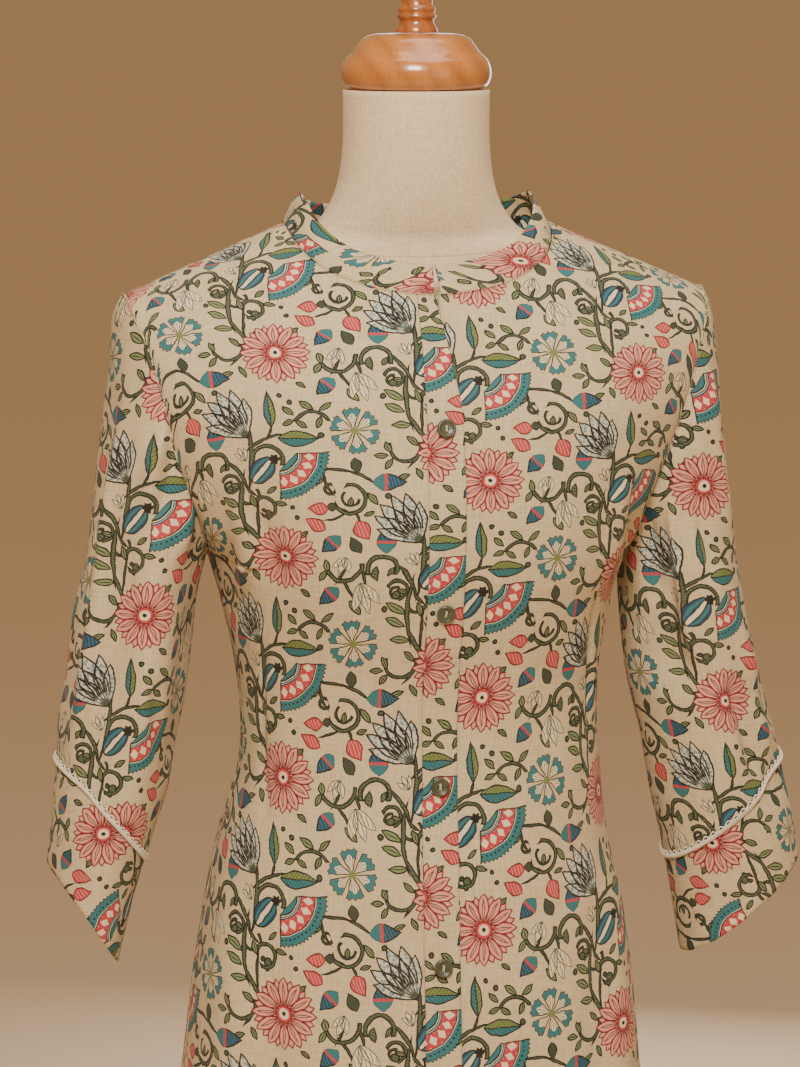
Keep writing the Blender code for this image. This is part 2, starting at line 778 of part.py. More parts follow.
def main():
    clear_scene()
    bpy.context.scene.collection.children.link(bpy.data.collections.new(COLLECTION))
    make_materials()
    make_body_panels()
    make_front_band()
    make_collar()
    for side, name in ((-1, "right"), (1, "left")):
        make_sleeve(side, f"sleeve_{name}")
        make_cuff(side, f"cuff_{name}")
        make_cuff_trim(side, f"cuff_trim_{name}")
    make_buttons()
    make_form()
    make_cap_and_finial()
    make_stand()


main()
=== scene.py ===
"""The kurta tunic on its dress form, in printed cloth, crochet, horn, linen and wood.

Metres, +Z up, the front facing -Y and the wearer's right at -X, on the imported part's own places.
"""

import math

import bmesh
import bpy
import numpy as np
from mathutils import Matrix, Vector


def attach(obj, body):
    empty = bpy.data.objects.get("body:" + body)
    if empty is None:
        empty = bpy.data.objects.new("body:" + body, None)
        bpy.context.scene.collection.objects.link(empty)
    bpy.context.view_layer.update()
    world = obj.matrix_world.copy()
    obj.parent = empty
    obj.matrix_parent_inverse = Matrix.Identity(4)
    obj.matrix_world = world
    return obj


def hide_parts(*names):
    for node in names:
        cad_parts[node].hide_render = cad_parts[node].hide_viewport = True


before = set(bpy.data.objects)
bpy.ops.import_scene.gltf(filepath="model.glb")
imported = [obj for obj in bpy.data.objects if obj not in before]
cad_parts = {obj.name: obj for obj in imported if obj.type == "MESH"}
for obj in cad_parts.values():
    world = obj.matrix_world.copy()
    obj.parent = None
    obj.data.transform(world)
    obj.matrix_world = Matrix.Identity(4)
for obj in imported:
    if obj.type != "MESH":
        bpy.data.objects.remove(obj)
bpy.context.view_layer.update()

# Cloth
CLOTH = 0.0015
SHELL = 0.0011
SEAM = 0.0002
LAID_ON = 0.0004
HEM = 0.330
ARMPIT = 1.197
SHOULDER_TIP = 1.380
NECK_POINT = 1.429
NECK_FRONT = 1.384
NECK_BACK = 1.414
RIDGE_Y = 0.010
SHOULDER_ROLL_FROM = 1.285
NECK_SHARE = 0.30
COLLAR_HEIGHT = 0.024
COLLAR_COLUMNS = 241
SLIT_TOP = 0.700
SLIT_GAP = 0.009
BODY_FULLNESS = 2.25
ARMHOLE_DEPTH = 0.056
QUARTER = math.pi / 2

# Body, worn: height, half width on the wearer's right and left, depth in front and behind
BODY = np.array((
    (0.330, 0.230, 0.225, 0.136, 0.160), (0.500, 0.212, 0.207, 0.132, 0.156),
    (0.650, 0.193, 0.188, 0.127, 0.149), (0.820, 0.171, 0.165, 0.119, 0.137),
    (0.879, 0.164, 0.160, 0.115, 0.131), (0.933, 0.156, 0.152, 0.110, 0.122),
    (0.970, 0.149, 0.143, 0.107, 0.114), (1.003, 0.140, 0.138, 0.103, 0.106),
    (1.042, 0.129, 0.134, 0.099, 0.097), (1.081, 0.128, 0.131, 0.098, 0.092),
    (1.117, 0.132, 0.132, 0.103, 0.091), (1.155, 0.140, 0.140, 0.115, 0.093),
    (1.197, 0.152, 0.151, 0.126, 0.096), (1.225, 0.163, 0.158, 0.128, 0.099),
    (1.250, 0.172, 0.166, 0.127, 0.102), (1.275, 0.180, 0.175, 0.123, 0.104),
    (1.305, 0.187, 0.186, 0.117, 0.106), (1.344, 0.196, 0.198, 0.107, 0.104),
    (1.380, 0.208, 0.210, 0.098, 0.098), (1.430, 0.208, 0.210, 0.088, 0.088),
))
HEIGHT, HALF_RIGHT, HALF_LEFT, FRONT, BACK = range(5)

# Soft waves of the skirt: degrees round from centre front, out at the hem, half width in degrees
SKIRT_WAVES = (
    (-152, 0.013, 17), (-118, -0.010, 14), (-74, 0.012, 15), (-43, -0.009, 13), (-20, 0.007, 12),
    (24, -0.008, 13), (52, 0.012, 15), (86, -0.007, 12), (115, 0.012, 16), (148, -0.012, 17),
    (176, 0.008, 14),
)
WAVES_FROM = 0.980

# Creases of the body, in front then behind: from and to (across, height), out of the cloth, half width
CREASES_FRONT = (
    (-0.146, 1.262, -0.126, 1.172, 0.0030, 0.007), (-0.132, 1.256, -0.112, 1.168, -0.0022, 0.008),
    (-0.152, 1.230, -0.134, 1.140, -0.0022, 0.006), (0.134, 1.268, 0.120, 1.170, 0.0026, 0.008),
    (0.147, 1.236, 0.131, 1.150, -0.0022, 0.007), (-0.122, 1.170, -0.108, 1.020, 0.0016, 0.010),
    (0.126, 1.150, 0.114, 1.060, 0.0016, 0.009), (-0.060, 1.110, -0.090, 1.050, -0.0010, 0.012),
    (0.058, 1.100, 0.088, 1.048, -0.0010, 0.012), (-0.030, 1.330, -0.095, 1.362, 0.0010, 0.009),
    (0.044, 1.338, 0.105, 1.360, 0.0010, 0.009), (-0.140, 0.985, -0.152, 0.780, 0.0028, 0.012),
    (-0.118, 0.960, -0.128, 0.700, -0.0020, 0.014), (0.128, 0.985, 0.146, 0.790, 0.0030, 0.010),
    (0.112, 0.970, 0.124, 0.690, -0.0022, 0.013), (0.058, 0.900, 0.070, 0.420, 0.0014, 0.020),
    (-0.052, 0.880, -0.062, 0.400, 0.0014, 0.022), (-0.085, 0.720, -0.095, 0.350, -0.0018, 0.020),
    (0.090, 0.700, 0.102, 0.360, -0.0018, 0.020),
)
CREASES_BACK = (
    (-0.130, 1.300, -0.112, 1.170, 0.0028, 0.009), (0.132, 1.292, 0.112, 1.160, 0.0028, 0.009),
    (-0.070, 1.330, -0.030, 1.270, -0.0012, 0.014), (0.066, 1.335, 0.026, 1.262, -0.0012, 0.014),
    (-0.095, 1.120, -0.050, 1.070, 0.0020, 0.008), (0.100, 1.116, 0.048, 1.062, 0.0020, 0.008),
    (-0.100, 1.090, -0.060, 1.046, -0.0014, 0.008), (0.098, 1.084, 0.058, 1.040, -0.0014, 0.008),
    (-0.030, 1.030, -0.040, 0.760, 0.0022, 0.015), (0.036, 1.010, 0.052, 0.640, 0.0022, 0.016),
    (-0.115, 0.960, -0.130, 0.520, -0.0024, 0.018), (0.112, 0.950, 0.132, 0.480, -0.0024, 0.018),
)

# Fisheye darts, in front then behind: across, middle height, half length, depth
DARTS = ((-0.119, 1.076, 0.080, 0.0022), (0.116, 1.120, 0.060, 0.0022))
BACK_DARTS = ((-0.072, 1.070, 0.105, 0.0020), (0.074, 1.070, 0.105, 0.0020))

# Sleeves, worn: height, inner and outer distance from the middle, half depth
SLEEVE_RIGHT = np.array((
    (0.880, 0.223, 0.277, 0.044), (0.950, 0.206, 0.271, 0.047), (1.000, 0.190, 0.265, 0.051),
    (1.050, 0.175, 0.260, 0.056), (1.100, 0.165, 0.251, 0.061), (1.150, 0.161, 0.244, 0.064),
    (1.215, 0.158, 0.234, 0.065), (1.300, 0.150, 0.223, 0.064), (1.380, 0.140, 0.209, 0.060),
))
SLEEVE_LEFT = np.array((
    (0.880, 0.203, 0.300, 0.043), (0.950, 0.191, 0.291, 0.046), (1.000, 0.180, 0.282, 0.049),
    (1.050, 0.170, 0.270, 0.053), (1.100, 0.159, 0.256, 0.056), (1.150, 0.153, 0.244, 0.060),
    (1.215, 0.152, 0.232, 0.063), (1.300, 0.150, 0.225, 0.064), (1.380, 0.140, 0.211, 0.060),
))
INNER, OUTER, HALF_DEPTH = 1, 2, 3
SLEEVE_MIDDLE_Y = RIDGE_Y * 0.6

# Sleeve folds: degrees round from the outside to the front, depth, half width in degrees, top and bottom
FOLDS_RIGHT = (
    (62, 0.006, 24, 1.250, 0.990), (150, 0.007, 26, 1.200, 1.020), (-80, 0.006, 28, 1.230, 1.000),
)
FOLDS_LEFT = (
    (118, 0.010, 26, 1.235, 1.080), (48, 0.006, 24, 1.110, 0.990), (-95, 0.007, 28, 1.220, 1.010),
)

# How strongly the creases are felt, and the rounded head of each sleeve
BODY_CREASE_GAIN = 1.35
SLEEVE_CREASE_GAIN = 2.3
SLEEVE_HEAD_FULLNESS = 0.0042
SLEEVE_HEAD_REACH = 0.016
METRES_A_DEGREE = 0.001
SLEEVE_COLUMNS = 121
OUTER_COLUMN = SLEEVE_COLUMNS // 2

# Finer creases of the sleeves: from and to (degrees round, height), out of the cloth, half width in metres
SLEEVE_CREASES_RIGHT = (
    (38, 1.330, 28, 1.030, 0.0026, 0.008), (22, 1.300, 12, 1.060, -0.0020, 0.009),
    (96, 1.345, 70, 1.230, 0.0026, 0.007), (110, 1.320, 88, 1.215, -0.0020, 0.007),
    (128, 1.300, 118, 1.190, 0.0024, 0.007), (100, 1.120, 128, 1.050, -0.0016, 0.009),
    (-60, 1.300, -70, 1.100, 0.0022, 0.010), (-120, 1.290, -108, 1.180, -0.0020, 0.010),
    (-20, 1.200, -14, 1.030, 0.0016, 0.012),
)
SLEEVE_CREASES_LEFT = (
    (112, 1.250, 96, 1.090, 0.0036, 0.008), (134, 1.240, 132, 1.150, -0.0026, 0.007),
    (88, 1.270, 70, 1.160, -0.0022, 0.009), (56, 1.345, 40, 1.180, 0.0016, 0.010),
    (72, 1.110, 60, 1.010, -0.0024, 0.008), (50, 1.150, 36, 1.020, 0.0024, 0.009),
    (-58, 1.310, -70, 1.120, 0.0024, 0.010), (-112, 1.280, -100, 1.170, -0.0022, 0.010),
    (-24, 1.210, -16, 1.040, 0.0016, 0.012),
)

# How the print's rows lie along the worn cloth, and how far the cuffs' print is turned
PRINT_EASE = 0.967
CHEST_EASE = 1.13
SLOPE_EASE = 1.01
CUFF_PRINT_TURN = math.radians(162)

# Where each piece was cut from the print, in metres of cloth added to its own chart
PRINT_STARTS = {
    "front_right_cloth": (0.1160, -0.0110),
    "front_left_cloth": (-0.0278, -0.0686),
    "back_cloth": (0.0200, 0.0300),
    "front_band_cloth": (0.0160, -0.0910),
    "collar_cloth": (-0.2724, -0.0090),
    "sleeve_right_cloth": (-0.0780, -0.0616),
    "sleeve_left_cloth": (0.0704, 0.0169),
    "cuff_right_cloth": (0.0620, -0.0160),
    "cuff_left_cloth": (-0.1030, 0.0080),
}

# Where the sleeves meet the armholes and the cuffs: seam and hem by side, the wearer's right first
SLEEVE_SETS_IN = 0.42
CUFF_SEAM = {-1: 1.012, 1: 0.997}
CUFF_HEM = {-1: 0.936, 1: 0.923}
CUFF_SLANT = 0.074

# Front band and buttons
BAND_RIGHT_EDGE = -0.0145
BAND_WIDTH = 0.025
BAND_MIDDLE = BAND_RIGHT_EDGE + BAND_WIDTH / 2
BAND_TOP = np.array(((1.278, 0.0250), (1.304, 0.0248), (1.334, 0.0205), (1.360, 0.0160), (1.384, 0.0110)))
BUTTON_COUNT = 6
BUTTON_FIRST = 1.295
BUTTON_STEP = 0.1272
BUTTON_TILTS = (0.06, -0.10, 0.04, -0.05, 0.12, -0.03)

# Dress form: height, half width, depth in front and behind, exponent
FORM = np.array((
    (0.772, 0.132, 0.078, 0.098, 2.3), (0.776, 0.140, 0.086, 0.106, 2.3),
    (0.800, 0.150, 0.098, 0.118, 2.3), (0.860, 0.152, 0.101, 0.119, 2.3),
    (0.920, 0.146, 0.098, 0.109, 2.3), (0.975, 0.132, 0.092, 0.098, 2.3),
    (1.020, 0.121, 0.087, 0.086, 2.25), (1.065, 0.116, 0.084, 0.080, 2.2),
    (1.110, 0.120, 0.089, 0.080, 2.2), (1.160, 0.130, 0.104, 0.083, 2.2),
    (1.205, 0.143, 0.116, 0.086, 2.2), (1.250, 0.152, 0.115, 0.091, 2.2),
    (1.290, 0.161, 0.106, 0.094, 2.1), (1.325, 0.166, 0.090, 0.090, 2.0),
    (1.352, 0.172, 0.072, 0.078, 1.9), (1.375, 0.170, 0.058, 0.064, 1.8),
    (1.390, 0.161, 0.050, 0.056, 1.75), (1.402, 0.1500, 0.046, 0.052, 1.75),
    (1.411, 0.1300, 0.043, 0.048, 1.8), (1.420, 0.0860, 0.041, 0.047, 1.9),
    (1.429, 0.0710, 0.042, 0.049, 1.95), (1.449, 0.0585, 0.045, 0.053, 2.0),
    (1.480, 0.0525, 0.049, 0.0525, 2.0), (1.5225, 0.0520, 0.051, 0.0520, 2.0),
))
FORM_EXPONENT = 4
FORM_SHOULDER = 1.395

# Turned wood and stand
STACKED = 0.0003
CAP_BOTTOM = FORM[-1][HEIGHT] + STACKED
CAP_TOP = 1.562
CAP_RADIUS = 0.053
FINIAL_TOP = 1.645
POLE_RADIUS = 0.0175
BASE_RADIUS = 0.190
BASE_HEIGHT = 0.034
# The finial's beads: radius, height above the cap
FINIAL_BEADS = (
    (0.0112, 0.0200), (0.0118, 0.0190), (0.0132, 0.0176), (0.0136, 0.0160), (0.0126, 0.0146),
    (0.0128, 0.0136), (0.0140, 0.0122), (0.0138, 0.0106), (0.0120, 0.0094), (0.0122, 0.0074),
    (0.0136, 0.0048), (0.0149, 0.0022), (0.0150, 0.0006), (0.0148, 0.0),
)


# Surfaces shared with the part

def along(table, height, column):
    """A column of a table, read smoothly at any heights."""
    at, values = table[:, 0], table[:, column]
    wide_at = np.concatenate((at[:1], at, at[-1:]))
    wide_values = np.concatenate((values[:1], values, values[-1:]))
    slope = (wide_values[2:] - wide_values[:-2]) / (wide_at[2:] - wide_at[:-2])
    height = np.clip(height, at[0], at[-1])
    low = np.clip(np.searchsorted(at, height, side="right") - 1, 0, len(at) - 2)
    span = at[low + 1] - at[low]
    t = (height - at[low]) / span
    return (
        (2 * t**3 - 3 * t**2 + 1) * values[low]
        + (t**3 - 2 * t**2 + t) * span * slope[low]
        + (3 * t**2 - 2 * t**3) * values[low + 1]
        + (t**3 - t**2) * span * slope[low + 1]
    )


def eased(share):
    share = np.clip(share, 0.0, 1.0)
    return share * share * (3 - 2 * share)


def bell(offset, width):
    return np.exp(-((offset / width) ** 2))


def turn_between(angle, other):
    return (angle - other + 180) % 360 - 180


def length_of(vector):
    return np.sqrt((vector**2).sum(-1, keepdims=True))


def unit(vector):
    return vector / np.maximum(length_of(vector), 1e-12)


def half_width(height, side):
    return np.where(np.asarray(side) < 0, along(BODY, height, HALF_RIGHT), along(BODY, height, HALF_LEFT))


def ridge_height(across, side):
    tip = half_width(SHOULDER_TIP, side)
    neck_point = tip * math.sin(NECK_SHARE * QUARTER)
    return SHOULDER_TIP + (tip - across) * (NECK_POINT - SHOULDER_TIP) / (tip - neck_point)


def top_height(share, side, behind):
    tip = half_width(SHOULDER_TIP, side)
    across = tip * np.sin(share * QUARTER)
    neck_point = tip * math.sin(NECK_SHARE * QUARTER)
    lowest = np.where(behind, NECK_BACK, NECK_FRONT)
    neck = NECK_POINT - (NECK_POINT - lowest) * np.sqrt(np.maximum(0.0, 1 - (across / neck_point) ** 2))
    return np.where(share >= NECK_SHARE, ridge_height(across, side), neck)


def skirt_wave(angle, height):
    share = np.maximum(0.0, (WAVES_FROM - height) / (WAVES_FROM - HEM)) ** 1.3
    return share * sum(
        out * bell(turn_between(np.degrees(angle), place), width)
        for place, out, width in SKIRT_WAVES
    )


def body_depth(across, height, side, behind):
    half = half_width(height, side)
    rise = np.clip((height - ARMPIT) / 0.085, 0.0, 1.0)
    beside = np.minimum(abs(across) / half, 1.0) ** 14
    soft_rise = eased((height - ARMPIT + 0.055) / 0.150)
    edge = ARMHOLE_DEPTH * (beside * np.sqrt(1 - (1 - rise) ** 2) + (1 - beside) * soft_rise)
    power = 1 / BODY_FULLNESS + eased((height - ARMPIT + 0.020) / 0.120) * (0.80 - 1 / BODY_FULLNESS)
    share = np.maximum(0.0, 1 - np.minimum(abs(across) / half, 1.0) ** BODY_FULLNESS) ** power
    full = np.where(behind, along(BODY, height, BACK), along(BODY, height, FRONT))
    depth = edge + (full - edge) * share
    climbed = (height - SHOULDER_ROLL_FROM) / (ridge_height(abs(across), side) - SHOULDER_ROLL_FROM)
    ridge = np.where(behind, RIDGE_Y, -RIDGE_Y)
    rolled = ridge + (depth - ridge) * np.sqrt(np.maximum(0.0, 1 - np.maximum(climbed, 0) ** 2))
    return np.where(height <= SHOULDER_ROLL_FROM, depth, rolled)


def body(angle, level):
    """The body's outer surface, as in the part."""
    angle, level = np.broadcast_arrays(np.asarray(angle, float), np.asarray(level, float))
    sine = np.sin(angle)
    side = np.where(sine < 0, -1, 1)
    behind = np.cos(angle) < 0
    share = np.arcsin(np.minimum(abs(sine), 1.0)) / QUARTER
    top = top_height(share, side, behind)
    height = ARMPIT + level * np.where(level <= 0, ARMPIT - HEM, top - ARMPIT)
    across = half_width(height, side) * abs(sine)
    depth = body_depth(across, height, side, behind)
    wave = skirt_wave(angle, height)
    return np.stack(
        (
            side * across + wave * sine,
            np.where(behind, depth, -depth) - wave * np.cos(angle),
            height,
        ),
        -1,
    )


def outwards(points, middle):
    """Unit normals of a grid of points, rows by columns, away from the middle."""
    down = np.gradient(points, axis=0)
    across = np.gradient(points, axis=1)
    normal = unit(np.cross(across, down))
    away = (normal * (points - middle)).sum(-1, keepdims=True)
    return np.where(away < 0, -normal, normal)


def armhole_height(turn):
    return ARMPIT + (SHOULDER_TIP - ARMPIT) * (1 + np.cos(turn)) / 2


def armhole(side, turn):
    level = (armhole_height(turn) - ARMPIT) / (SHOULDER_TIP - ARMPIT)
    quarter = np.where(turn >= 0, QUARTER, QUARTER + 1e-9)
    return body(side * quarter, np.maximum(level, 1e-9))


def sleeve(side, turn, height):
    table, folds = (SLEEVE_RIGHT, FOLDS_RIGHT) if side < 0 else (SLEEVE_LEFT, FOLDS_LEFT)
    inner, outer, deep = (along(table, height, i) for i in (INNER, OUTER, HALF_DEPTH))
    wave = 0.0
    for place, depth, width, top, bottom in folds:
        middle, reach = (top + bottom) / 2, (top - bottom) / 2
        length = eased((1 - abs(height - middle) / reach) * 2)
        wave = wave - depth * length * bell(turn_between(np.degrees(turn), place), width)
    return np.stack(
        (
            side * ((inner + outer) / 2 + ((outer - inner) / 2 + wave) * np.cos(turn)),
            -(deep + wave) * np.sin(turn) + SLEEVE_MIDDLE_Y,
            height,
        ),
        -1,
    )


def cuff_height(middle, turn):
    return middle + CUFF_SLANT / 2 * np.cos(turn)


def sleeve_from_armhole(side, turn, share):
    top = armhole_height(turn)
    height = top + share * (cuff_height(CUFF_SEAM[side], turn) - top)
    set_in = eased(share / SLEEVE_SETS_IN)[..., None]
    return armhole(side, turn) * (1 - set_in) + sleeve(side, turn, height) * set_in


def stroke(across, height, start, end, half):
    """How strongly a soft crease from start to end is felt, full along its middle and gone at its ends."""
    run = np.subtract(end, start)
    share = ((across - start[0]) * run[0] + (height - start[1]) * run[1]) / (run @ run)
    off = abs((across - start[0]) * run[1] - (height - start[1]) * run[0]) / math.hypot(*run)
    ends = eased(np.clip(share, 0, 1) * 3.2) * eased((1 - np.clip(share, 0, 1)) * 3.2)
    return bell(off, half * (0.75 + 0.5 * np.clip(share, 0, 1))) * ends


def creased(points, level):
    """How far the body's cloth stands out of its plain surface."""
    across, deep, height = points[..., 0], points[..., 1], points[..., 2]
    fades = eased(abs(deep) / 0.030)
    out = np.zeros(across.shape)
    for behind, table in ((False, CREASES_FRONT), (True, CREASES_BACK)):
        here = (deep > 0) == behind
        for x0, z0, x1, z1, depth, half in table:
            out += here * depth * stroke(across, height, (x0, z0), (x1, z1), half)
    for behind, table in ((False, DARTS), (True, BACK_DARTS)):
        here = (deep > 0) == behind
        for x0, middle, reach, depth in table:
            length = eased((1 - abs(height - middle) / reach) * 2)
            out -= here * depth * length * bell(across - x0, 0.0022)
            out -= here * depth * 0.5 * length * bell(across - x0, 0.010)
    ripple = 0.0006 * np.sin(across * 46 + 1.5 * np.sin(height * 17)) * np.sin(height * 31 + across * 12)
    return (out * BODY_CREASE_GAIN + ripple) * fades * eased((1.0 - level) * 5 + 0.2)


# Making meshes

def clear_of(name):
    mesh = bpy.data.meshes.new(name)
    made = bpy.data.objects.new(name, mesh)
    bpy.context.collection.objects.link(made)
    return made


def finished(build, name, material):
    """Turns a built mesh into a smooth object of one material."""
    made = clear_of(name)
    build.to_mesh(made.data)
    build.free()
    made.data.materials.append(material)
    made.data.shade_smooth()
    return made


def cloth_sheet(name, points, chart, material, closed=False, thickness=SHELL, inner=None):
    """A thin sheet over a grid of points, charted in cloth metres, its faces turned outwards."""
    rows, columns = points.shape[0] - 1, points.shape[1] - 1
    build = bmesh.new()
    bmesh.ops.create_grid(build, x_segments=columns, y_segments=rows, size=1.0, calc_uvs=True)
    layer = build.loops.layers.uv.verify()
    build.verts.ensure_lookup_table()
    flat_points = points.reshape(-1, 3)
    flat_chart = chart.reshape(-1, 2)
    for vertex, place in zip(build.verts, flat_points):
        vertex.co = place
    build.verts.index_update()
    for face in build.faces:
        for loop in face.loops:
            loop[layer].uv = flat_chart[loop.vert.index]
    if closed:
        bmesh.ops.remove_doubles(build, verts=list(build.verts), dist=1e-6)
    build.normal_update()
    away = 0.0
    for face in list(build.faces)[:: max(1, len(build.faces) // 400)]:
        spot = face.calc_center_median()
        inside = inner(spot) if inner else Vector((0.0, 0.0, spot.z))
        away += face.normal.dot((spot - inside).normalized())
    if away < 0:
        bmesh.ops.reverse_faces(build, faces=list(build.faces))
    made = finished(build, name, material)
    made.data.uv_layers[0].name = "Cloth"
    wall = made.modifiers.new("Wall", "SOLIDIFY")
    wall.thickness = thickness
    wall.offset = -1
    wall.use_even_offset = False
    return made


def lengths(points, axis):
    """Running length along the rows or columns of a grid of points."""
    steps = np.sqrt((np.diff(points, axis=axis) ** 2).sum(-1))
    start = np.zeros_like(np.take(steps, [0], axis=axis))
    return np.concatenate((start, np.cumsum(steps, axis=axis)), axis=axis)


def body_grid(angles, levels):
    """Worn points of the body over a grid of angles and levels."""
    points = body(angles, levels)
    middle = np.zeros_like(points)
    middle[..., 2] = points[..., 2]
    normal = outwards(points, middle)
    return points + normal * creased(points, levels)[..., None]


ARMPIT_ROW = 215


def level_runs(angles, heights, middle):
    """Cloth from the middle column round to each column, measured level at each point's own height."""
    steps = np.linspace(ARMPIT, NECK_POINT, 60)[:, None]
    side = np.where(np.sin(angles) < 0, -1, 1)
    behind = np.cos(angles) < 0
    across = half_width(steps, side) * abs(np.sin(angles))
    depth = body_depth(across, steps, side, behind)
    section = np.stack((side * across, np.where(behind, depth, -depth), steps + 0 * across), -1)
    run = lengths(section, 1)
    run = run - run[:, [middle]]
    return np.stack(
        [np.interp(heights[:, j], steps[:, 0], run[:, j]) for j in range(len(angles))], 1
    )


def panel_levels():
    low = -(1 - np.linspace(0, 1, ARMPIT_ROW + 1))
    turns = np.linspace(math.pi, 0, 60)[1:]
    return np.concatenate((low, (1 + np.cos(turns)) / 2))


def neck_shares(count):
    reach = math.sin(NECK_SHARE * QUARTER)
    turns = np.linspace(0, QUARTER, count)
    return np.arcsin(reach * np.sin(turns)) / QUARTER


def panel_shares():
    side = np.linspace(NECK_SHARE, 1.0, 46)[1:]
    return np.concatenate((neck_shares(24), side))


def slit_angle(level, side):
    height = ARMPIT + np.minimum(level, 0) * (ARMPIT - HEM)
    return SLIT_GAP * np.maximum(0.0, (SLIT_TOP - height) / (SLIT_TOP - HEM)) / half_width(height, side)


def body_panel(name, spans, material, chart_from):
    """A panel of the body: spans lists (side, behind, whether the share runs from the side inwards)."""
    levels = panel_levels()[:, None]
    shares = panel_shares()
    parts = []
    for side, behind, inwards in spans:
        run = shares[::-1] if inwards else shares
        if parts:
            run = run[1:]
        edge = run[None, :] * (QUARTER - slit_angle(levels, side))
        centre = np.where((run[None, :] == 0) & (not behind), SEAM / half_width(ARMPIT, side), 0.0)
        parts.append(side * (np.where(behind, math.pi - edge, edge + centre)))
    angles = np.concatenate(parts, axis=1)
    points = pull_back(body_grid(angles, np.broadcast_to(levels, angles.shape)))
    middle = {"first": 0, "last": angles.shape[1] - 1, "back": angles.shape[1] // 2}[chart_from]
    run = lengths(points, 1)
    around = run - run[:, [middle]]
    above = slice(ARMPIT_ROW + 1, None)
    around[above] = level_runs(angles[-1], points[above, :, 2], middle)
    up = lengths(points, 0)
    up = up - up[[ARMPIT_ROW], :]
    up[:ARMPIT_ROW] = 0.8 * (points[:ARMPIT_ROW, :, 2] - ARMPIT) + 0.2 * up[:ARMPIT_ROW]
    up[ARMPIT_ROW:] *= CHEST_EASE
    chart = np.stack((around, up * PRINT_EASE), -1) + np.array(PRINT_STARTS[name])
    return cloth_sheet(name, points, chart, material)


def pull_back(points):
    """Sets the outer columns of a panel a hair back from their seams."""
    for column, ahead in ((0, 1), (-1, -2)):
        towards = unit(points[:, ahead] - points[:, column])
        points[:, column] += towards * SEAM * 1.6
    towards = unit(points[-2] - points[-1])
    points[-1] += towards * SEAM * 1.6
    return points


def sleeve_normals(side, points):
    """Directions out of a sleeve's grid of points, the same at both edges of its seam."""
    table = SLEEVE_RIGHT if side < 0 else SLEEVE_LEFT
    middle = np.stack(
        (
            side * (along(table, points[..., 2], INNER) + along(table, points[..., 2], OUTER)) / 2,
            np.full(points.shape[:-1], SLEEVE_MIDDLE_Y),
            points[..., 2],
        ),
        -1,
    )
    normal = outwards(points, middle)
    wrap = points.shape[1] - 1
    for edge in (0, wrap):
        normal[:, edge] = unit(normal[:, 1] + normal[:, wrap - 1])
    return normal


def sleeve_run(side, turns, points, low, high, rows):
    """Cloth from the outer line of the sleeve round to each point, measured level at its own height."""
    steps = np.linspace(low, high, rows)[:, None]
    run = lengths(sleeve(side, turns + 0 * steps, steps + 0 * turns), 1)
    run = (run - run[:, [OUTER_COLUMN]]) * side
    return np.stack([np.interp(points[:, j, 2], steps[:, 0], run[:, j]) for j in range(turns.shape[1])], 1)


def sleeve_grid(side, turns, shares):
    points = sleeve_from_armhole(side, turns, shares)
    normal = sleeve_normals(side, points)
    out = np.zeros(points.shape[:-1])
    degrees = np.degrees(turns) + np.zeros_like(shares)
    for a0, z0, a1, z1, depth, half in SLEEVE_CREASES_RIGHT if side < 0 else SLEEVE_CREASES_LEFT:
        start, end = (a0 * METRES_A_DEGREE, z0), (a1 * METRES_A_DEGREE, z1)
        out += depth * stroke(degrees * METRES_A_DEGREE, points[..., 2], start, end, half)
    out = out * SLEEVE_CREASE_GAIN
    out += 0.0008 * np.sin(turns * 5 + 2 * np.sin(points[..., 2] * 24)) * np.sin(points[..., 2] * 38)
    out *= eased(shares * 5) * eased((1 - shares) * 12 + 0.1)
    below = (armhole_height(turns) - points[..., 2]) / SLEEVE_HEAD_REACH
    out += SLEEVE_HEAD_FULLNESS * bell(turns, 0.62) * below * np.exp(1 - below)
    return points + normal * out[..., None]


def make_sleeve(side, name, material):
    turns = np.linspace(math.pi, -math.pi, SLEEVE_COLUMNS)[None, :]
    shares = (np.linspace(0, 1, 96) ** 1.1)[:, None]
    turns, shares = np.broadcast_arrays(turns, shares)
    points = sleeve_grid(side, turns, shares)
    down = unit(points[1] - points[0])
    tight = bell(turns[0], 0.35) + bell(abs(turns[0]) - math.pi, 0.9)
    points[0] += down * (SEAM * (2 + 5 * tight))[:, None]
    points[-1] -= unit(points[-1] - points[-2]) * SEAM * 2
    points[:, -1] = points[:, 0]
    around = sleeve_run(side, turns[:1], points, 0.88, SHOULDER_TIP, 60)
    chart = np.stack((around, (points[..., 2] - 1.1) * SLOPE_EASE), -1) + np.array(PRINT_STARTS[name])
    inner = lambda spot: Vector((side * 0.2, RIDGE_Y, spot.z))
    return cloth_sheet(name, points, chart, material, closed=True, inner=inner)


def make_cuff(side, name, material):
    turns = np.linspace(math.pi, -math.pi, SLEEVE_COLUMNS)[None, :]
    top = CUFF_SEAM[side] - SEAM * 2
    middles = np.linspace(top, CUFF_HEM[side], 24)[:, None]
    hem = bell(middles - CUFF_HEM[side] - 0.012, 0.0015) * 0.0003
    points = sleeve(side, turns + 0 * middles, cuff_height(middles, turns))
    points = points + sleeve_normals(side, points) * (-hem + 0 * turns)[..., None]
    points[:, -1] = points[:, 0]
    around = sleeve_run(side, turns, points, 0.88, 1.06, 24)
    down = (1.0 - points[..., 2]) * SLOPE_EASE
    u = around * math.cos(CUFF_PRINT_TURN) + down * math.sin(CUFF_PRINT_TURN)
    v = around * math.sin(CUFF_PRINT_TURN) - down * math.cos(CUFF_PRINT_TURN)
    inner = lambda spot: Vector((side * 0.235, RIDGE_Y, spot.z))
    chart = np.stack((u, v), -1) + np.array(PRINT_STARTS[name])
    return cloth_sheet(name, points, chart, material, closed=True, inner=inner)


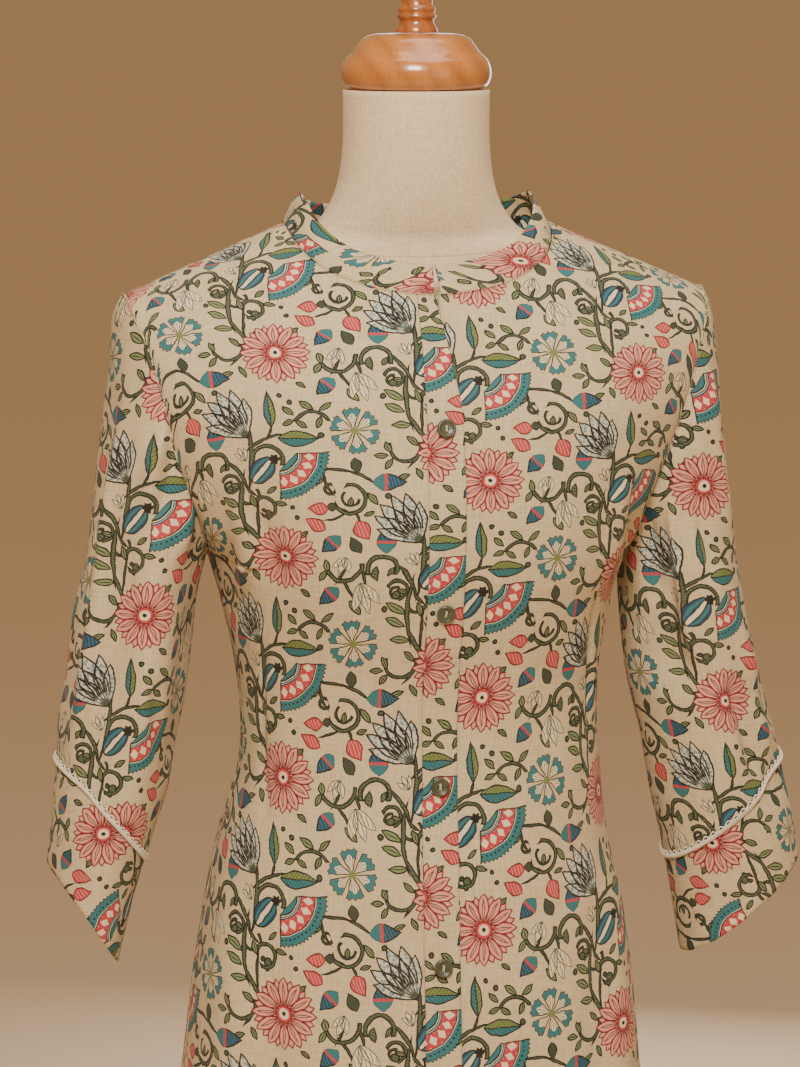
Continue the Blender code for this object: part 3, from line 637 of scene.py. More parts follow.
def tube_along(build, path, radius, sides, closed=True):
    """A fine tube along a path of points, its ends joined when closed."""
    count = len(path)
    ahead = np.roll(path, -1, 0) - np.roll(path, 1, 0)
    if not closed:
        ahead[0], ahead[-1] = path[1] - path[0], path[-1] - path[-2]
    ahead = unit(ahead)
    level = unit(np.cross(ahead, (0.13, 0.07, 1.0)))
    upright = np.cross(level, ahead)
    turns = np.linspace(0, 2 * math.pi, sides + 1)[:-1]
    rings = [
        [build.verts.new(p + radius * (math.cos(t) * a + math.sin(t) * b)) for t in turns]
        for p, a, b in zip(path, level, upright)
    ]
    for i in range(count if closed else count - 1):
        first, second = rings[i], rings[(i + 1) % count]
        for j in range(sides):
            k = (j + 1) % sides
            build.faces.new((first[j], first[k], second[k], second[j]))
    if not closed:
        build.faces.new(rings[0])
        build.faces.new(rings[-1][::-1])


def make_cuff_trim(side, name, material):
    """Crochet edging over the cuff seam: a row of small closed loops on a chain of two twisted cords."""
    stitches = 104
    per_stitch = 8
    turns = np.linspace(math.pi, -math.pi, stitches * per_stitch + 1)[:-1]
    phase = np.linspace(0, stitches * 2 * math.pi, stitches * per_stitch + 1)[:-1]
    build = bmesh.new()
    for lead in (0.0, math.pi):
        rise = 0.00115 * np.sin(phase + lead)
        out = 0.00150 + 0.00055 * np.cos(phase + lead)
        path = trim_path(side, turns, CUFF_SEAM[side] - 0.0008 + rise, out)
        tube_along(build, path, 0.00078, 6)
    shell = 0.5 - 0.5 * np.cos(phase / 2)
    scallop = trim_path(side, turns, CUFF_SEAM[side] + 0.0008 + 0.0021 * shell, 0.0013 + 0 * turns)
    tube_along(build, scallop, 0.00062, 6)
    bmesh.ops.recalc_face_normals(build, faces=list(build.faces))
    return finished(build, name, material)


def trim_path(side, turns, middles, out):
    points = sleeve(side, turns, cuff_height(middles, turns))
    ahead = unit(np.roll(points, -1, 0) - np.roll(points, 1, 0))
    lower = sleeve(side, turns, cuff_height(middles - 0.001, turns))
    normal = unit(np.cross(ahead, lower - points))
    away = points - np.stack(
        (np.full(len(turns), side * 0.224), np.full(len(turns), RIDGE_Y), points[:, 2]), -1
    )
    normal = np.where((normal * away).sum(-1, keepdims=True) < 0, -normal, normal)
    return points + normal * np.asarray(out)[..., None]


def softened(wide, reach, width):
    """A line of vectors smoothed over so many steps each way, which its ends lose."""
    weight = bell(np.arange(-reach, reach + 1), width)
    weight = weight / weight.sum()
    return np.stack([np.convolve(wide[:, i], weight, "valid") for i in range(3)], -1)


def evened(line, count, soft):
    """A line of points spread evenly over its length, smoothed over a number of its steps."""
    run = lengths(line, 0)
    even = np.linspace(0, run[-1], count)
    made = np.stack([np.interp(even, run, line[:, i]) for i in range(3)], -1)
    reach = 4 * soft
    first, last = made[0], made[-1]
    wide = np.concatenate((2 * first - made[reach:0:-1], made, 2 * last - made[-2:-2 - reach:-1]))
    return softened(wide, reach, soft * 1.4)


def collar_rise(foot):
    """The way the collar rises from its seam: nearly flat in front, upright at the back."""
    along_it = np.gradient(foot, axis=0)
    inwards = unit(np.stack((along_it[:, 1], -along_it[:, 0], 0 * along_it[:, 0]), -1))
    if (inwards * foot * (1, 1, 0)).sum() > 0:
        inwards = -inwards
    reach = 16
    wide = np.concatenate((inwards[:1].repeat(reach, 0), inwards, inwards[-1:].repeat(reach, 0)))
    inwards = unit(softened(wide, reach, 9.0))
    lean = 0.42 + 0.30 * (1 + inwards[:, 1:2]) / 2
    rise = unit(inwards * lean + np.array((0.0, 0.0, 1.0)))
    return rise, unit(rise * (inwards * rise).sum(-1, keepdims=True) - inwards)


def make_collar(material):
    shares = neck_shares(60)
    angles = np.concatenate(
        (
            -QUARTER * shares,
            -(math.pi - QUARTER * shares[::-1]),
            (math.pi - QUARTER * shares)[1:],
            (QUARTER * shares)[::-1],
        )
    )
    angles[0] -= 0.012
    angles[-1] += 0.012
    foot = evened(body(angles, 1.0), COLLAR_COLUMNS, 2)
    rise, outside = collar_rise(foot)
    foot = foot + rise * 3 * SEAM
    tucks = np.array((-0.0022, -0.0010))
    heights = np.concatenate((tucks, np.linspace(0, COLLAR_HEIGHT, 13)))
    points = foot[None] + rise[None] * heights[:, None, None]
    worn = 0.0006 * np.sin(heights.clip(0) / COLLAR_HEIGHT * math.pi)
    worn -= 0.00022 * bell(abs(heights - COLLAR_HEIGHT) - 0.0024, 0.0009)
    worn -= 0.0016 * (heights < -0.0004) + 0.0003 * bell(heights, 0.0012)
    place = np.arange(COLLAR_COLUMNS)
    ripple = 0.0004 * np.sin(place * 0.16) * np.sin(place * 0.047 + 1.0)
    worn = worn[:, None] + ripple[None] * (heights / COLLAR_HEIGHT).clip(0)[:, None]
    points = points + outside[None] * worn[..., None]
    run = lengths(points, 1)
    around = run[:, [run.shape[1] // 2]] - run
    up = np.broadcast_to(heights[:, None], around.shape)
    chart = np.stack((around, up), -1) + np.array(PRINT_STARTS["collar_cloth"])
    return cloth_sheet("collar_cloth", points, chart, material, thickness=0.0013)


def front_point(across, level, out):
    """The worn front, across metres from its middle, moved out from the cloth."""
    height = body(0.0 * np.asarray(level), level)[..., 2]
    angle = np.arcsin(across / half_width(height, 1))
    return worn_point(angle, level, out)


def worn_point(angle, level, out):
    step = 1e-4
    angle, level = np.broadcast_arrays(np.asarray(angle, float), np.asarray(level, float))
    first = body(angle + step, level) - body(angle - step, level)
    second = body(angle, level + step) - body(angle, level - step)
    point = body(angle, level)
    normal = unit(np.cross(first, second))
    normal = np.where(normal[..., 1:2] * np.cos(angle)[..., None] > 0, -normal, normal)
    return point + normal * (creased(point, level) + out)[..., None]


def make_front_band(material):
    levels = panel_levels()
    levels[-1] -= 0.006
    heights = body(0.0 * levels, levels)[:, 2]
    widths = along(BAND_TOP, heights, 1)
    shares = np.linspace(0, 1, 15)
    across = BAND_RIGHT_EDGE + widths[:, None] * shares[None, :]
    edge = np.minimum(shares, 1 - shares) * BAND_WIDTH
    stitched = -0.00028 * bell(edge - 0.0022, 0.0009) + 0.0002 * bell(edge - 0.0045, 0.003)
    out = LAID_ON + CLOTH + stitched[None, :] + 0 * across
    points = front_point(across, np.broadcast_to(levels[:, None], across.shape), out)
    up = lengths(points, 0)
    up = up - up[[ARMPIT_ROW], :]
    up[ARMPIT_ROW:] *= CHEST_EASE
    chart = np.stack((across - BAND_MIDDLE, up * PRINT_EASE), -1)
    chart = chart + np.array(PRINT_STARTS["front_band_cloth"])
    return cloth_sheet("front_band_cloth", points, chart, material, thickness=0.0012)


def spin_round(build, profile, steps, join):
    """Spins a profile of (radius, height) points into a closed shape and joins what meets."""
    ring = [build.verts.new((radius, 0, height)) for radius, height in profile]
    edges = [build.edges.new((a, b)) for a, b in zip(ring, ring[1:])]
    bmesh.ops.spin(
        build, geom=ring + edges, cent=(0, 0, 0), axis=(0, 0, 1), angle=2 * math.pi,
        steps=steps, use_merge=True,
    )
    bmesh.ops.remove_doubles(build, verts=list(build.verts), dist=join)
    bmesh.ops.recalc_face_normals(build, faces=list(build.faces))


def turned(name, profile, material, steps=96):
    """A piece turned about the middle, from (radius, height) points listed from the top down."""
    build = bmesh.new()
    spin_round(build, profile, steps, 1e-6)
    return finished(build, name, material)


def smooth_profile(points, per_span=4):
    """A turned profile drawn as a smooth curve through its points."""
    points = np.array(points, float)
    wide = np.concatenate((points[:1] * 2 - points[1:2], points, points[-1:] * 2 - points[-2:-1]))
    made = []
    for a, b, c, d in zip(wide, wide[1:], wide[2:], wide[3:]):
        for t in np.arange(per_span) / per_span:
            square, cube = 2 * a - 5 * b + 4 * c - d, 3 * b - a - 3 * c + d
            made.append(0.5 * (2 * b + (c - a) * t + square * t**2 + cube * t**3))
    return made + [points[-1]]


def plain_material(name, colour, roughness):
    material = bpy.data.materials.new(name)
    material.use_nodes = True
    shader = material.node_tree.nodes["Principled BSDF"]
    shader.inputs["Base Color"].default_value = (*colour, 1)
    shader.inputs["Roughness"].default_value = roughness
    return material


def form_grid(heights, angles):
    heights, angles = np.broadcast_arrays(heights, angles)
    half, front, behind, exponent = (along(FORM, heights, i) for i in (1, 2, 3, FORM_EXPONENT))
    share = np.maximum(0.0, 1 - abs(np.sin(angles)) ** exponent) ** (1 / exponent)
    depth = np.where(np.cos(angles) > 0, -front * share, behind * share)
    depth = depth + RIDGE_Y * bell(heights - FORM_SHOULDER, 0.042)
    return np.stack((half * np.sin(angles), depth, heights), -1)


def make_form(material):
    """The torso of the form, with its neck, closed at both ends."""
    heights = np.unique(
        np.concatenate((np.linspace(0.772, 1.5225, 190), np.linspace(1.385, 1.45, 60))).round(6)
    )[:, None]
    angles = np.linspace(0, 2 * math.pi, 161)[None, :]
    points = form_grid(heights, angles)
    build = bmesh.new()
    rows, columns = points.shape[0] - 1, points.shape[1] - 1
    bmesh.ops.create_grid(build, x_segments=columns, y_segments=rows, size=1.0)
    for vertex, place in zip(list(build.verts), points.reshape(-1, 3)):
        vertex.co = place
    bmesh.ops.remove_doubles(build, verts=list(build.verts), dist=1e-6)
    bmesh.ops.holes_fill(build, edges=list(build.edges), sides=0)
    bmesh.ops.recalc_face_normals(build, faces=list(build.faces))
    return finished(build, "form_body_linen", material)


# Shader nodes

def shade(red, green, blue):
    """A colour given as it looks, 0 to 255, as the light values that nodes take."""
    def linear(value):
        value /= 255
        return value / 12.92 if value <= 0.04045 else ((value + 0.055) / 1.055) ** 2.4
    return (linear(red), linear(green), linear(blue), 1.0)


class Net:
    """Adds nodes to a tree in few words: each call gives the new node's output."""

    def __init__(self, tree):
        self.tree = tree

    def put(self, socket, value):
        if isinstance(value, bpy.types.NodeSocket):
            self.tree.links.new(value, socket)
        elif socket.type in ("VECTOR", "RGBA") and not hasattr(value, "__len__"):
            socket.default_value = (value,) * len(socket.default_value)
        else:
            socket.default_value = value

    def node(self, kind, values=(), **settings):
        made = self.tree.nodes.new(kind)
        for key, value in settings.items():
            setattr(made, key, value)
        for key, value in dict(values).items():
            self.put(made.inputs[key], value)
        return made

    def f(self, operation, *values, clamp=False):
        made = self.node("ShaderNodeMath", operation=operation, use_clamp=clamp)
        for socket, value in zip(made.inputs, values):
            self.put(socket, value)
        return made.outputs[0]

    def times(self, *values, **settings):
        return self.f("MULTIPLY", *values, **settings)

    def times_add(self, *values, **settings):
        return self.f("MULTIPLY_ADD", *values, **settings)

    def less(self, value, other):
        return self.f("SUBTRACT", value, other)

    def size(self, value):
        return self.f("ABSOLUTE", value)

    def v(self, operation, *values):
        made = self.node("ShaderNodeVectorMath", operation=operation)
        for socket, value in zip(made.inputs, values):
            self.put(socket, value)
        return made.outputs["Value"] if operation in ("LENGTH", "DOT_PRODUCT") else made.outputs[0]

    def join(self, x, y, z=0.0):
        return self.node("ShaderNodeCombineXYZ", {"X": x, "Y": y, "Z": z}).outputs[0]

    def split(self, vector):
        return self.node("ShaderNodeSeparateXYZ", {"Vector": vector}).outputs

    def lowest(self, vector):
        x, y, z = self.split(vector)
        return self.f("MINIMUM", self.f("MINIMUM", x, y), z)

    def inside(self, field, edge=0.0, soft=0.30):
        """1 where a field in millimetres is under the edge, with a soft inked border."""
        return self.times_add(field, -1 / soft, 0.5 + edge / soft, clamp=True)

    def noise(self, place, scale=1.0, detail=2.0, stretch=None, flat=False, rough=0.5):
        """The outputs of a noise over a place, which may be stretched first."""
        if stretch:
            place = self.v("MULTIPLY", place, stretch)
        return self.node(
            "ShaderNodeTexNoise", {"Vector": place, "Scale": scale, "Detail": detail, "Roughness": rough},
            noise_dimensions="2D" if flat else "3D",
        ).outputs

    def object_place(self):
        return self.node("ShaderNodeTexCoord").outputs["Object"]

    def mix(self, share, under, over):
        made = self.node("ShaderNodeMix", data_type="RGBA")
        self.put(made.inputs[0], share)
        self.put(made.inputs[6], under)
        self.put(made.inputs[7], over)
        return made.outputs[2]


def new_group(name, inputs, outputs):
    """A shader node group: its net, its input sockets by name and its output node."""
    tree = bpy.data.node_groups.new(name, "ShaderNodeTree")
    for title, kind, value in inputs:
        socket = tree.interface.new_socket(title, in_out="INPUT", socket_type=kind)
        if value is not None:
            socket.default_value = value
    for title, kind in outputs:
        tree.interface.new_socket(title, in_out="OUTPUT", socket_type=kind)
    entry = tree.nodes.new("NodeGroupInput")
    leave = tree.nodes.new("NodeGroupOutput")
    return tree, Net(tree), entry.outputs, leave.inputs


# The print, charted in millimetres on the cloth from the middle of a dahlia, y upwards

REPEAT_ACROSS = 118.7
REPEAT_UP = 160.0
FOLD_LEFT = (-15.0, -52.0)
FOLD_RIGHT = (59.0, -76.0)

# Stems as bent strokes: from, to, width, bend to the left of the way along
STEMS_LEFT = (
    (-22, -58, -25, -107, 3.2, 2.6), (-24, -78, -2, -66, 2.4, 2.4), (-12, -69, 2, -65, 2.0, 1.0),
    (-9, -67, -6, -58, 1.7, -0.8), (-27, -104, -19, -113, 2.4, -1.0), (-15, -89, 1, -82, 1.6, 1.0),
)
STEMS_RIGHT = (
    (92, -15, 92, -60, 3.5, -4.0), (89, -50, 104, -73, 3.3, -1.5), (99, -66, 100, -37, 1.9, 1.2),
    (78, -4, 93, -27, 3.1, 2.6), (65, -6, 66, -16, 5.2, -1.2), (98, -72, 88, -90, 2.4, 1.6),
    (54, -6, 58, -20, 2.2, 1.0), (40, -14, 50, -30, 2.0, 1.2), (28, -92, 50, -94, 2.1, 1.6),
    (46, -93, 64, -102, 2.2, 1.4), (30, -92, 36, -110, 2.0, -2.4), (46, -124, 33, -120, 1.8, -0.8),
    (44, -124, 30, -130, 1.7, 1.2), (50, -124, 54, -133, 1.8, 0.6), (44, -6, 38, -18, 1.8, 0.8),
)

# Stems as arcs: middle, radius, width, then the way that is kept, in degrees, and its reach past the middle
ARCS_LEFT = (
    (-9.4, -84.2, 11.0, 2.8, 85, 3.0), (-13.8, -121.6, 8.2, 2.6, 20, 6.0),
    (-24, -112, 7.0, 1.8, 300, 1.5),
)
ARCS_RIGHT = (
    (69.3, -7.9, 10.4, 3.0, 90, 4.0), (80.3, -22.6, 6.8, 2.3, 40, 3.5),
    (85.8, -75.4, 11.0, 2.3, 270, 3.0), (22.6, -60.0, 12.6, 2.3, 90, -5.5),
    (42.9, -4.2, 12.6, 2.8, 270, 1.0), (46.8, -113.9, 11.0, 2.5, 330, 7.5),
    (33.6, -106.0, 4.0, 1.7, 200, 2.5), (79.5, -24.5, 4.0, 1.6, 180, 2.0),
    (47.5, -113.0, 6.0, 1.5, 240, 2.0),
)

# Dots and curled ends: middle and radius
DOTS_LEFT = (
    (0.8, -34.7, 1.7), (7.9, -39.9, 1.9), (6.8, -120.5, 1.6), (-11.6, -126.0, 3.0), (-29, -64, 1.2),
    (9.9, -128.3, 1.6),
)
DOTS_RIGHT = (
    (72.1, -36.5, 2.0), (28.4, -65.5, 2.2), (73.5, -111.9, 2.1), (103.1, -44.0, 1.7),
    (106.2, -50.6, 1.7), (79.8, -26.4, 3.0),
)

# Leaves: middle, length, width, pointing direction
LEAVES_LEFT = (
    (-7.7, -107.4, 10, 4.6, 40), (-1.4, -117.8, 10, 4.6, -10), (-35, -104, 9, 4.4, 160),
)
LEAVES_RIGHT = (
    (16, -26.4, 9.4, 4.4, -35), (80, -36, 17, 6.6, 150), (79.8, -46, 16, 6.6, 155),
    (84, -58.6, 15, 6.2, 178), (96.3, -37, 12, 5.2, 108), (91.3, -71, 12, 5.0, 138),
    (95.2, -95.7, 11, 4.8, 120), (74.3, -75.5, 10.5, 5.0, 115), (69.0, -81.5, 10.5, 5.0, 180),
    (74.3, -87.9, 10.5, 5.0, 235), (75.4, -9.4, 9, 4.4, 60), (19.3, -42.4, 13, 5.6, 145),
    (32.5, -43.5, 12, 5.2, 40), (6.3, -46.8, 11, 5.0, 135), (6.6, -55.6, 10, 4.8, 200),
    (15.4, -56.7, 10.5, 4.8, -35), (27.5, -55.6, 10.5, 4.8, 250), (30.8, -5.4, 10, 5.6, 100),
    (28.6, -13.2, 11, 5.4, 240), (51.7, -35.4, 14, 6.2, -50), (62.7, -113.9, 13, 5.6, -50),
    (47.4, -116.0, 9, 4.6, 80), (14, -142, 10, 4.6, 40), (108, -62, 10, 4.6, 25),
    (84, -98, 11, 4.8, 200), (60, -125, 9, 4.4, 20), (26, -100, 10, 4.6, 215),
)

TWO_TONE_LEAVES = ((-6.6, -44.8, 30, 8.6, 94), (13.4, -67.7, 30, 12.5, 0))

# Buds: middle, length, width, pointing direction
TEAL_BUDS = (
    (33, -28, 19, 11.5, 225), (33.6, -148.6, 19, 11.5, 225), (74.8, -101.5, 24, 13, 0),
    (72, -144.4, 22, 13.5, 90),
)
CORAL_BUDS = ((25.0, -121, 15, 10, 180), (22.6, -133, 17, 10, 148), (55.6, -138, 17, 12, -58))
DARK_FLOWERS = ((52, -88.6, 13, 8, 100), (50.6, -149.0, 15, 9, -60), (34.5, -119.6, 7, 7, 0))
PALE_FLOWERS = ((42, -5.2, 15, 10, 250), (58.3, -29, 24, 14, -72), (-28.2, -80, 12, 7, 120))
# Petals of a pale flower: degrees from its direction, share of its length
PALE_PETALS = ((-27, 0.88), (0, 1.0), (27, 0.88))

LOTUS_BASE = (-23.0, -67.0)
# Petals of the lotus: direction, length, width
LOTUS = (
    (92, 30, 9), (106, 38, 10), (120, 41, 10), (134, 40, 10), (148, 38, 9), (162, 32, 8),
    (113, 30, 9), (127, 31, 9), (141, 29, 8),
)
CARNATION = (51.7, -62.2)
FAN = (-1.7, -79.2)
FAN_MIDDLE = math.radians(-43.5)
FAN_HALF = math.radians(46.5)
POMEGRANATE = (-13.6, -92.0)

INK = {
    "ground": shade(206, 182, 136),
    "stem": shade(62, 72, 54),
    "stem_edge": shade(10, 16, 12),
    "leaf": shade(120, 134, 86),
    "outline": shade(10, 14, 14),
    "teal": shade(42, 108, 112),
    "blue": shade(24, 62, 88),
    "pale_blue": shade(128, 158, 162),
    "pink": shade(216, 152, 132),
    "coral": shade(188, 58, 66),
    "rose_edge": shade(88, 10, 16),
    "cream": shade(226, 206, 170),
    "olive": shade(112, 124, 66),
}


def threes(rows, filler):
    rows = list(rows)
    while len(rows) % 3:
        rows.append(filler)
    return [rows[i:i + 3] for i in range(0, len(rows), 3)]


def lens_terms(three):
    """How x and y turn and scale into each of 3 pointed shapes (x, y, length, width, direction)."""
    terms = {key: [] for key in ("ux", "uy", "uk", "vx", "vy", "vk", "w")}
    for x, y, length, width, direction in three:
        cosine, sine = math.cos(math.radians(direction)), math.sin(math.radians(direction))
        half = length / 2
        terms["ux"].append(cosine / half)
        terms["uy"].append(sine / half)
        terms["uk"].append(-(x * cosine + y * sine) / half)
        terms["vx"].append(-sine)
        terms["vy"].append(cosine)
        terms["vk"].append(x * sine - y * cosine)
        terms["w"].append(width / 2)
    return terms


def lenses(net, x, y, rows, bends=None, swell=0.0):
    """Fields of pointed shapes, 3 at a time in the parts of a vector. Gives (field, along, across) sets."""
    made = []
    bends = threes(bends or [0.0] * len(rows), 0.0)
    for three, bend in zip(threes(rows, (0, 900, 1, 1, 0)), bends):
        t = lens_terms(three)
        along_it = net.v("MULTIPLY_ADD", x, t["ux"], net.v("MULTIPLY_ADD", y, t["uy"], t["uk"]))
        across_it = net.v("MULTIPLY_ADD", x, t["vx"], net.v("MULTIPLY_ADD", y, t["vy"], t["vk"]))
        taper = net.v("MULTIPLY_ADD", along_it, along_it, -1.0)
        if any(bend):
            across_it = net.v("MULTIPLY_ADD", taper, bend, across_it)
        width = t["w"]
        if swell:
            width = net.v("MULTIPLY_ADD", along_it, [-w * swell for w in t["w"]], t["w"])
            width = net.v("MAXIMUM", width, 0.05)
        off = net.v("ABSOLUTE", across_it)
        made.append((net.v("MULTIPLY_ADD", taper, width, off), along_it, off, across_it))
    return made


def nearest(net, fields):
    best = fields[0]
    for field in fields[1:]:
        best = net.v("MINIMUM", best, field)
    return best


def petals_from(foot, rows):
    """Pointed shapes that spread from one foot, from (direction, length, width)."""
    made = []
    for direction, length, width in rows:
        way = math.radians(direction)
        middle = (foot[0] + math.cos(way) * length / 2, foot[1] + math.sin(way) * length / 2)
        made.append((*middle, length, width, direction))
    return made


def strokes(net, x, y, rows):
    """The field of bent strokes."""
    shapes, bends = [], []
    for x0, y0, x1, y1, width, bend in rows:
        length = math.hypot(x1 - x0, y1 - y0)
        way = math.degrees(math.atan2(y1 - y0, x1 - x0))
        shapes.append(((x0 + x1) / 2, (y0 + y1) / 2, length * 1.12, width, way))
        bends.append(bend)
    return nearest(net, [found[0] for found in lenses(net, x, y, shapes, bends)])


def arcs(net, x, y, rows):
    """The field of arcs, each kept on one side of a line."""
    best = None
    for three in threes(rows, (0, 900, 1, 1, 0, 0)):
        across = net.v("ADD", x, [-r[0] for r in three])
        up = net.v("ADD", y, [-r[1] for r in three])
        ring = net.v("MULTIPLY_ADD", across, across, [-r[2] ** 2 for r in three])
        ring = net.v("MULTIPLY_ADD", up, up, ring)
        ring = net.v("ABSOLUTE", net.v("MULTIPLY", ring, [0.5 / r[2] for r in three]))
        ring = net.v("SUBTRACT", ring, [r[3] / 2 for r in three])
        ways = [math.radians(r[4]) for r in three]
        cut = net.v("MULTIPLY_ADD", across, [-math.cos(way) for way in ways], [-r[5] for r in three])
        cut = net.v("MULTIPLY_ADD", up, [-math.sin(way) for way in ways], cut)
        field = net.v("MAXIMUM", ring, cut)
        best = net.v("MINIMUM", best, field) if best else field
    return best


def dots(net, x, y, rows):
    best = None
    for three in threes(rows, (0, 900, 1)):
        across = net.v("ADD", x, [-r[0] for r in three])
        up = net.v("ADD", y, [-r[1] for r in three])
        field = net.v("MULTIPLY_ADD", across, across, [-r[2] ** 2 for r in three])
        field = net.v("MULTIPLY", net.v("MULTIPLY_ADD", up, up, field), [0.5 / r[2] for r in three])
        best = net.v("MINIMUM", best, field) if best else field
    return best


def folded(net, x, y, centre):
    """Brings any place of the cloth into one repeat of the print round a centre."""
    across = net.less(x, centre[0])
    home = net.f("WRAP", across, REPEAT_ACROSS / 2, -REPEAT_ACROSS / 2)
    moved = net.less(home, across)
    up = net.times_add(moved, REPEAT_UP / 2 / REPEAT_ACROSS, net.less(y, centre[1]))
    up = net.f("WRAP", up, REPEAT_UP / 2, -REPEAT_UP / 2)
    return net.f("ADD", home, centre[0]), net.f("ADD", up, centre[1])


def polar(net, x, y, middle):
    across = net.less(x, middle[0])
    up = net.less(y, middle[1])
    return net.v("LENGTH", net.join(across, up)), net.f("ARCTAN2", up, across)


def stripes(net, x, y, step, direction, share):
    """Fine slanted lines: 1 on a line."""
    cosine, sine = math.cos(math.radians(direction)), math.sin(math.radians(direction))
    place = net.times_add(x, cosine / step, net.times(y, sine / step))
    off = net.size(net.f("WRAP", place, 0.5, -0.5))
    return net.times_add(off, -8.0, 4.0 * share + 0.5, clamp=True)


def make_print_group():
    """The block print: colour and ink over the chart of the cloth, in metres."""
    tree, net, given, out = new_group(
        "block_print", (("Chart", "NodeSocketVector", None),),
        (("Colour", "NodeSocketColor"), ("Ink", "NodeSocketFloat")),
    )
    chart = net.v("MULTIPLY", given["Chart"], 1000.0)
    wander = net.noise(chart, 0.11, 3.0, flat=True)["Color"]
    wander = net.v("MULTIPLY_ADD", wander, (2.2, 2.2, 0), net.v("ADD", chart, (-1.1, -1.1, 0)))
    place = net.split(wander)
    xa, ya = folded(net, place[0], place[1], FOLD_LEFT)
    xb, yb = folded(net, place[0], place[1], FOLD_RIGHT)
    colour = INK["ground"]
    ink = 0.0

    def fill(mask, over):
        nonlocal colour
        colour = net.mix(mask, colour, INK[over] if isinstance(over, str) else over)

    def lay(mask, over):
        nonlocal ink
        fill(mask, over)
        ink = net.f("MAXIMUM", ink, mask)

    # stems, curls and dots
    field = net.v("MINIMUM", strokes(net, xa, ya, STEMS_LEFT), arcs(net, xa, ya, ARCS_LEFT))
    field = net.v("MINIMUM", field, dots(net, xa, ya, DOTS_LEFT))
    field = net.v("MINIMUM", field, strokes(net, xb, yb, STEMS_RIGHT))
    field = net.v("MINIMUM", field, arcs(net, xb, yb, ARCS_RIGHT))
    field = net.lowest(net.v("MINIMUM", field, dots(net, xb, yb, DOTS_RIGHT)))
    lay(net.inside(field, 0.35), "stem_edge")
    fill(net.inside(field, -0.60), "stem")
    streak = net.times(net.inside(field, -0.95), stripes(net, xb, yb, 1.9, 62, 0.34))
    fill(net.times(streak, 0.55), "leaf")

    # leaves with ribs
    found = lenses(net, xb, yb, LEAVES_RIGHT) + lenses(net, xa, ya, LEAVES_LEFT)
    field = net.lowest(nearest(net, [f[0] for f in found]))
    ribs = [net.v("MULTIPLY_ADD", f[1], f[1], net.v("MULTIPLY", f[2], 1.6)) for f in found]
    ribs = net.lowest(nearest(net, ribs))
    lay(net.inside(field), "outline")
    fill(net.inside(field, -1.15), "leaf")
    fill(net.times(net.inside(ribs, 0.62, 0.4), net.inside(field)), "outline")

    # two leaves in two colours, one upright and one lying
    parts = [net.split(part) for part in lenses(net, xa, ya, TWO_TONE_LEAVES, swell=0.35)[0]]
    for i, olive_side in enumerate((1.0, -1.0)):
        field, way, off, over = (part[i] for part in parts)
        lay(net.inside(field), "outline")
        core = net.inside(field, -1.1)
        fill(core, "teal")
        fill(net.times(core, net.inside(net.times(over, olive_side))), "olive")
        veins = net.size(net.f("WRAP", net.times_add(off, -0.30, net.times(way, 5.2)), 0.5, -0.5))
        veins = net.times(net.inside(veins, 0.10, 0.12), core)
        rib = net.times(net.inside(off, 0.42), core)
        fill(net.f("MAXIMUM", rib, net.times(veins, 0.75)), "outline")

    # buds and small flowers
    hatch = stripes(net, xb, yb, 2.3, 20, 0.30)
    found = lenses(net, xb, yb, DARK_FLOWERS, swell=-0.2)
    field = net.lowest(found[0][0])
    lay(net.inside(field), "outline")
    fill(net.times(net.inside(field, -0.9), 0.75), "stem")
    found = []
    for flower, (xf, yf) in zip(PALE_FLOWERS, ((xb, yb), (xb, yb), (xa, ya))):
        x0, y0, length, width, direction = flower
        way = math.radians(direction)
        foot = (x0 - math.cos(way) * length / 2, y0 - math.sin(way) * length / 2)
        rows = ((direction + spread, length * share, width * 0.52) for spread, share in PALE_PETALS)
        found += lenses(net, xf, yf, petals_from(foot, rows))
    field = net.lowest(nearest(net, [f[0] for f in found]))
    ring = net.lowest(nearest(net, [net.v("ABSOLUTE", f[0]) for f in found]))
    lay(net.inside(field), "outline")
    fill(net.inside(field, -0.6), "cream")
    veins = net.times(net.inside(field, -1.2), stripes(net, xb, yb, 2.6, 15, 0.22))
    fill(net.f("MAXIMUM", net.times(net.inside(ring, 0.34), net.inside(field)), veins), "stem")
    found = lenses(net, xb, yb, CORAL_BUDS, swell=0.45)
    field = net.lowest(found[0][0])
    lay(net.inside(field), "rose_edge")
    fill(net.inside(field, -0.95), "coral")
    fill(net.times(net.inside(field, -1.6), net.times(hatch, 0.75)), "pink")
    found = lenses(net, xb, yb, TEAL_BUDS, swell=0.45)
    field = net.lowest(nearest(net, [f[0] for f in found]))
    bands = []
    for f in found:
        off = net.v("ABSOLUTE", net.v("ADD", f[1], 0.22))
        bands.append(net.v("MAXIMUM", f[0], net.v("MULTIPLY_ADD", off, 10.0, -0.95)))
    band = net.lowest(nearest(net, bands))
    bases = [net.v("MAXIMUM", f[0], net.v("MULTIPLY_ADD", f[1], 10.0, 2.6)) for f in found]
    base = net.lowest(nearest(net, bases))
    lay(net.inside(field), "outline")
    fill(net.inside(field, -1.1), "blue")
    fill(net.times(net.inside(field, -1.5), hatch), "teal")
    fill(net.inside(base, -0.5), "teal")
    fill(net.inside(band), "coral")

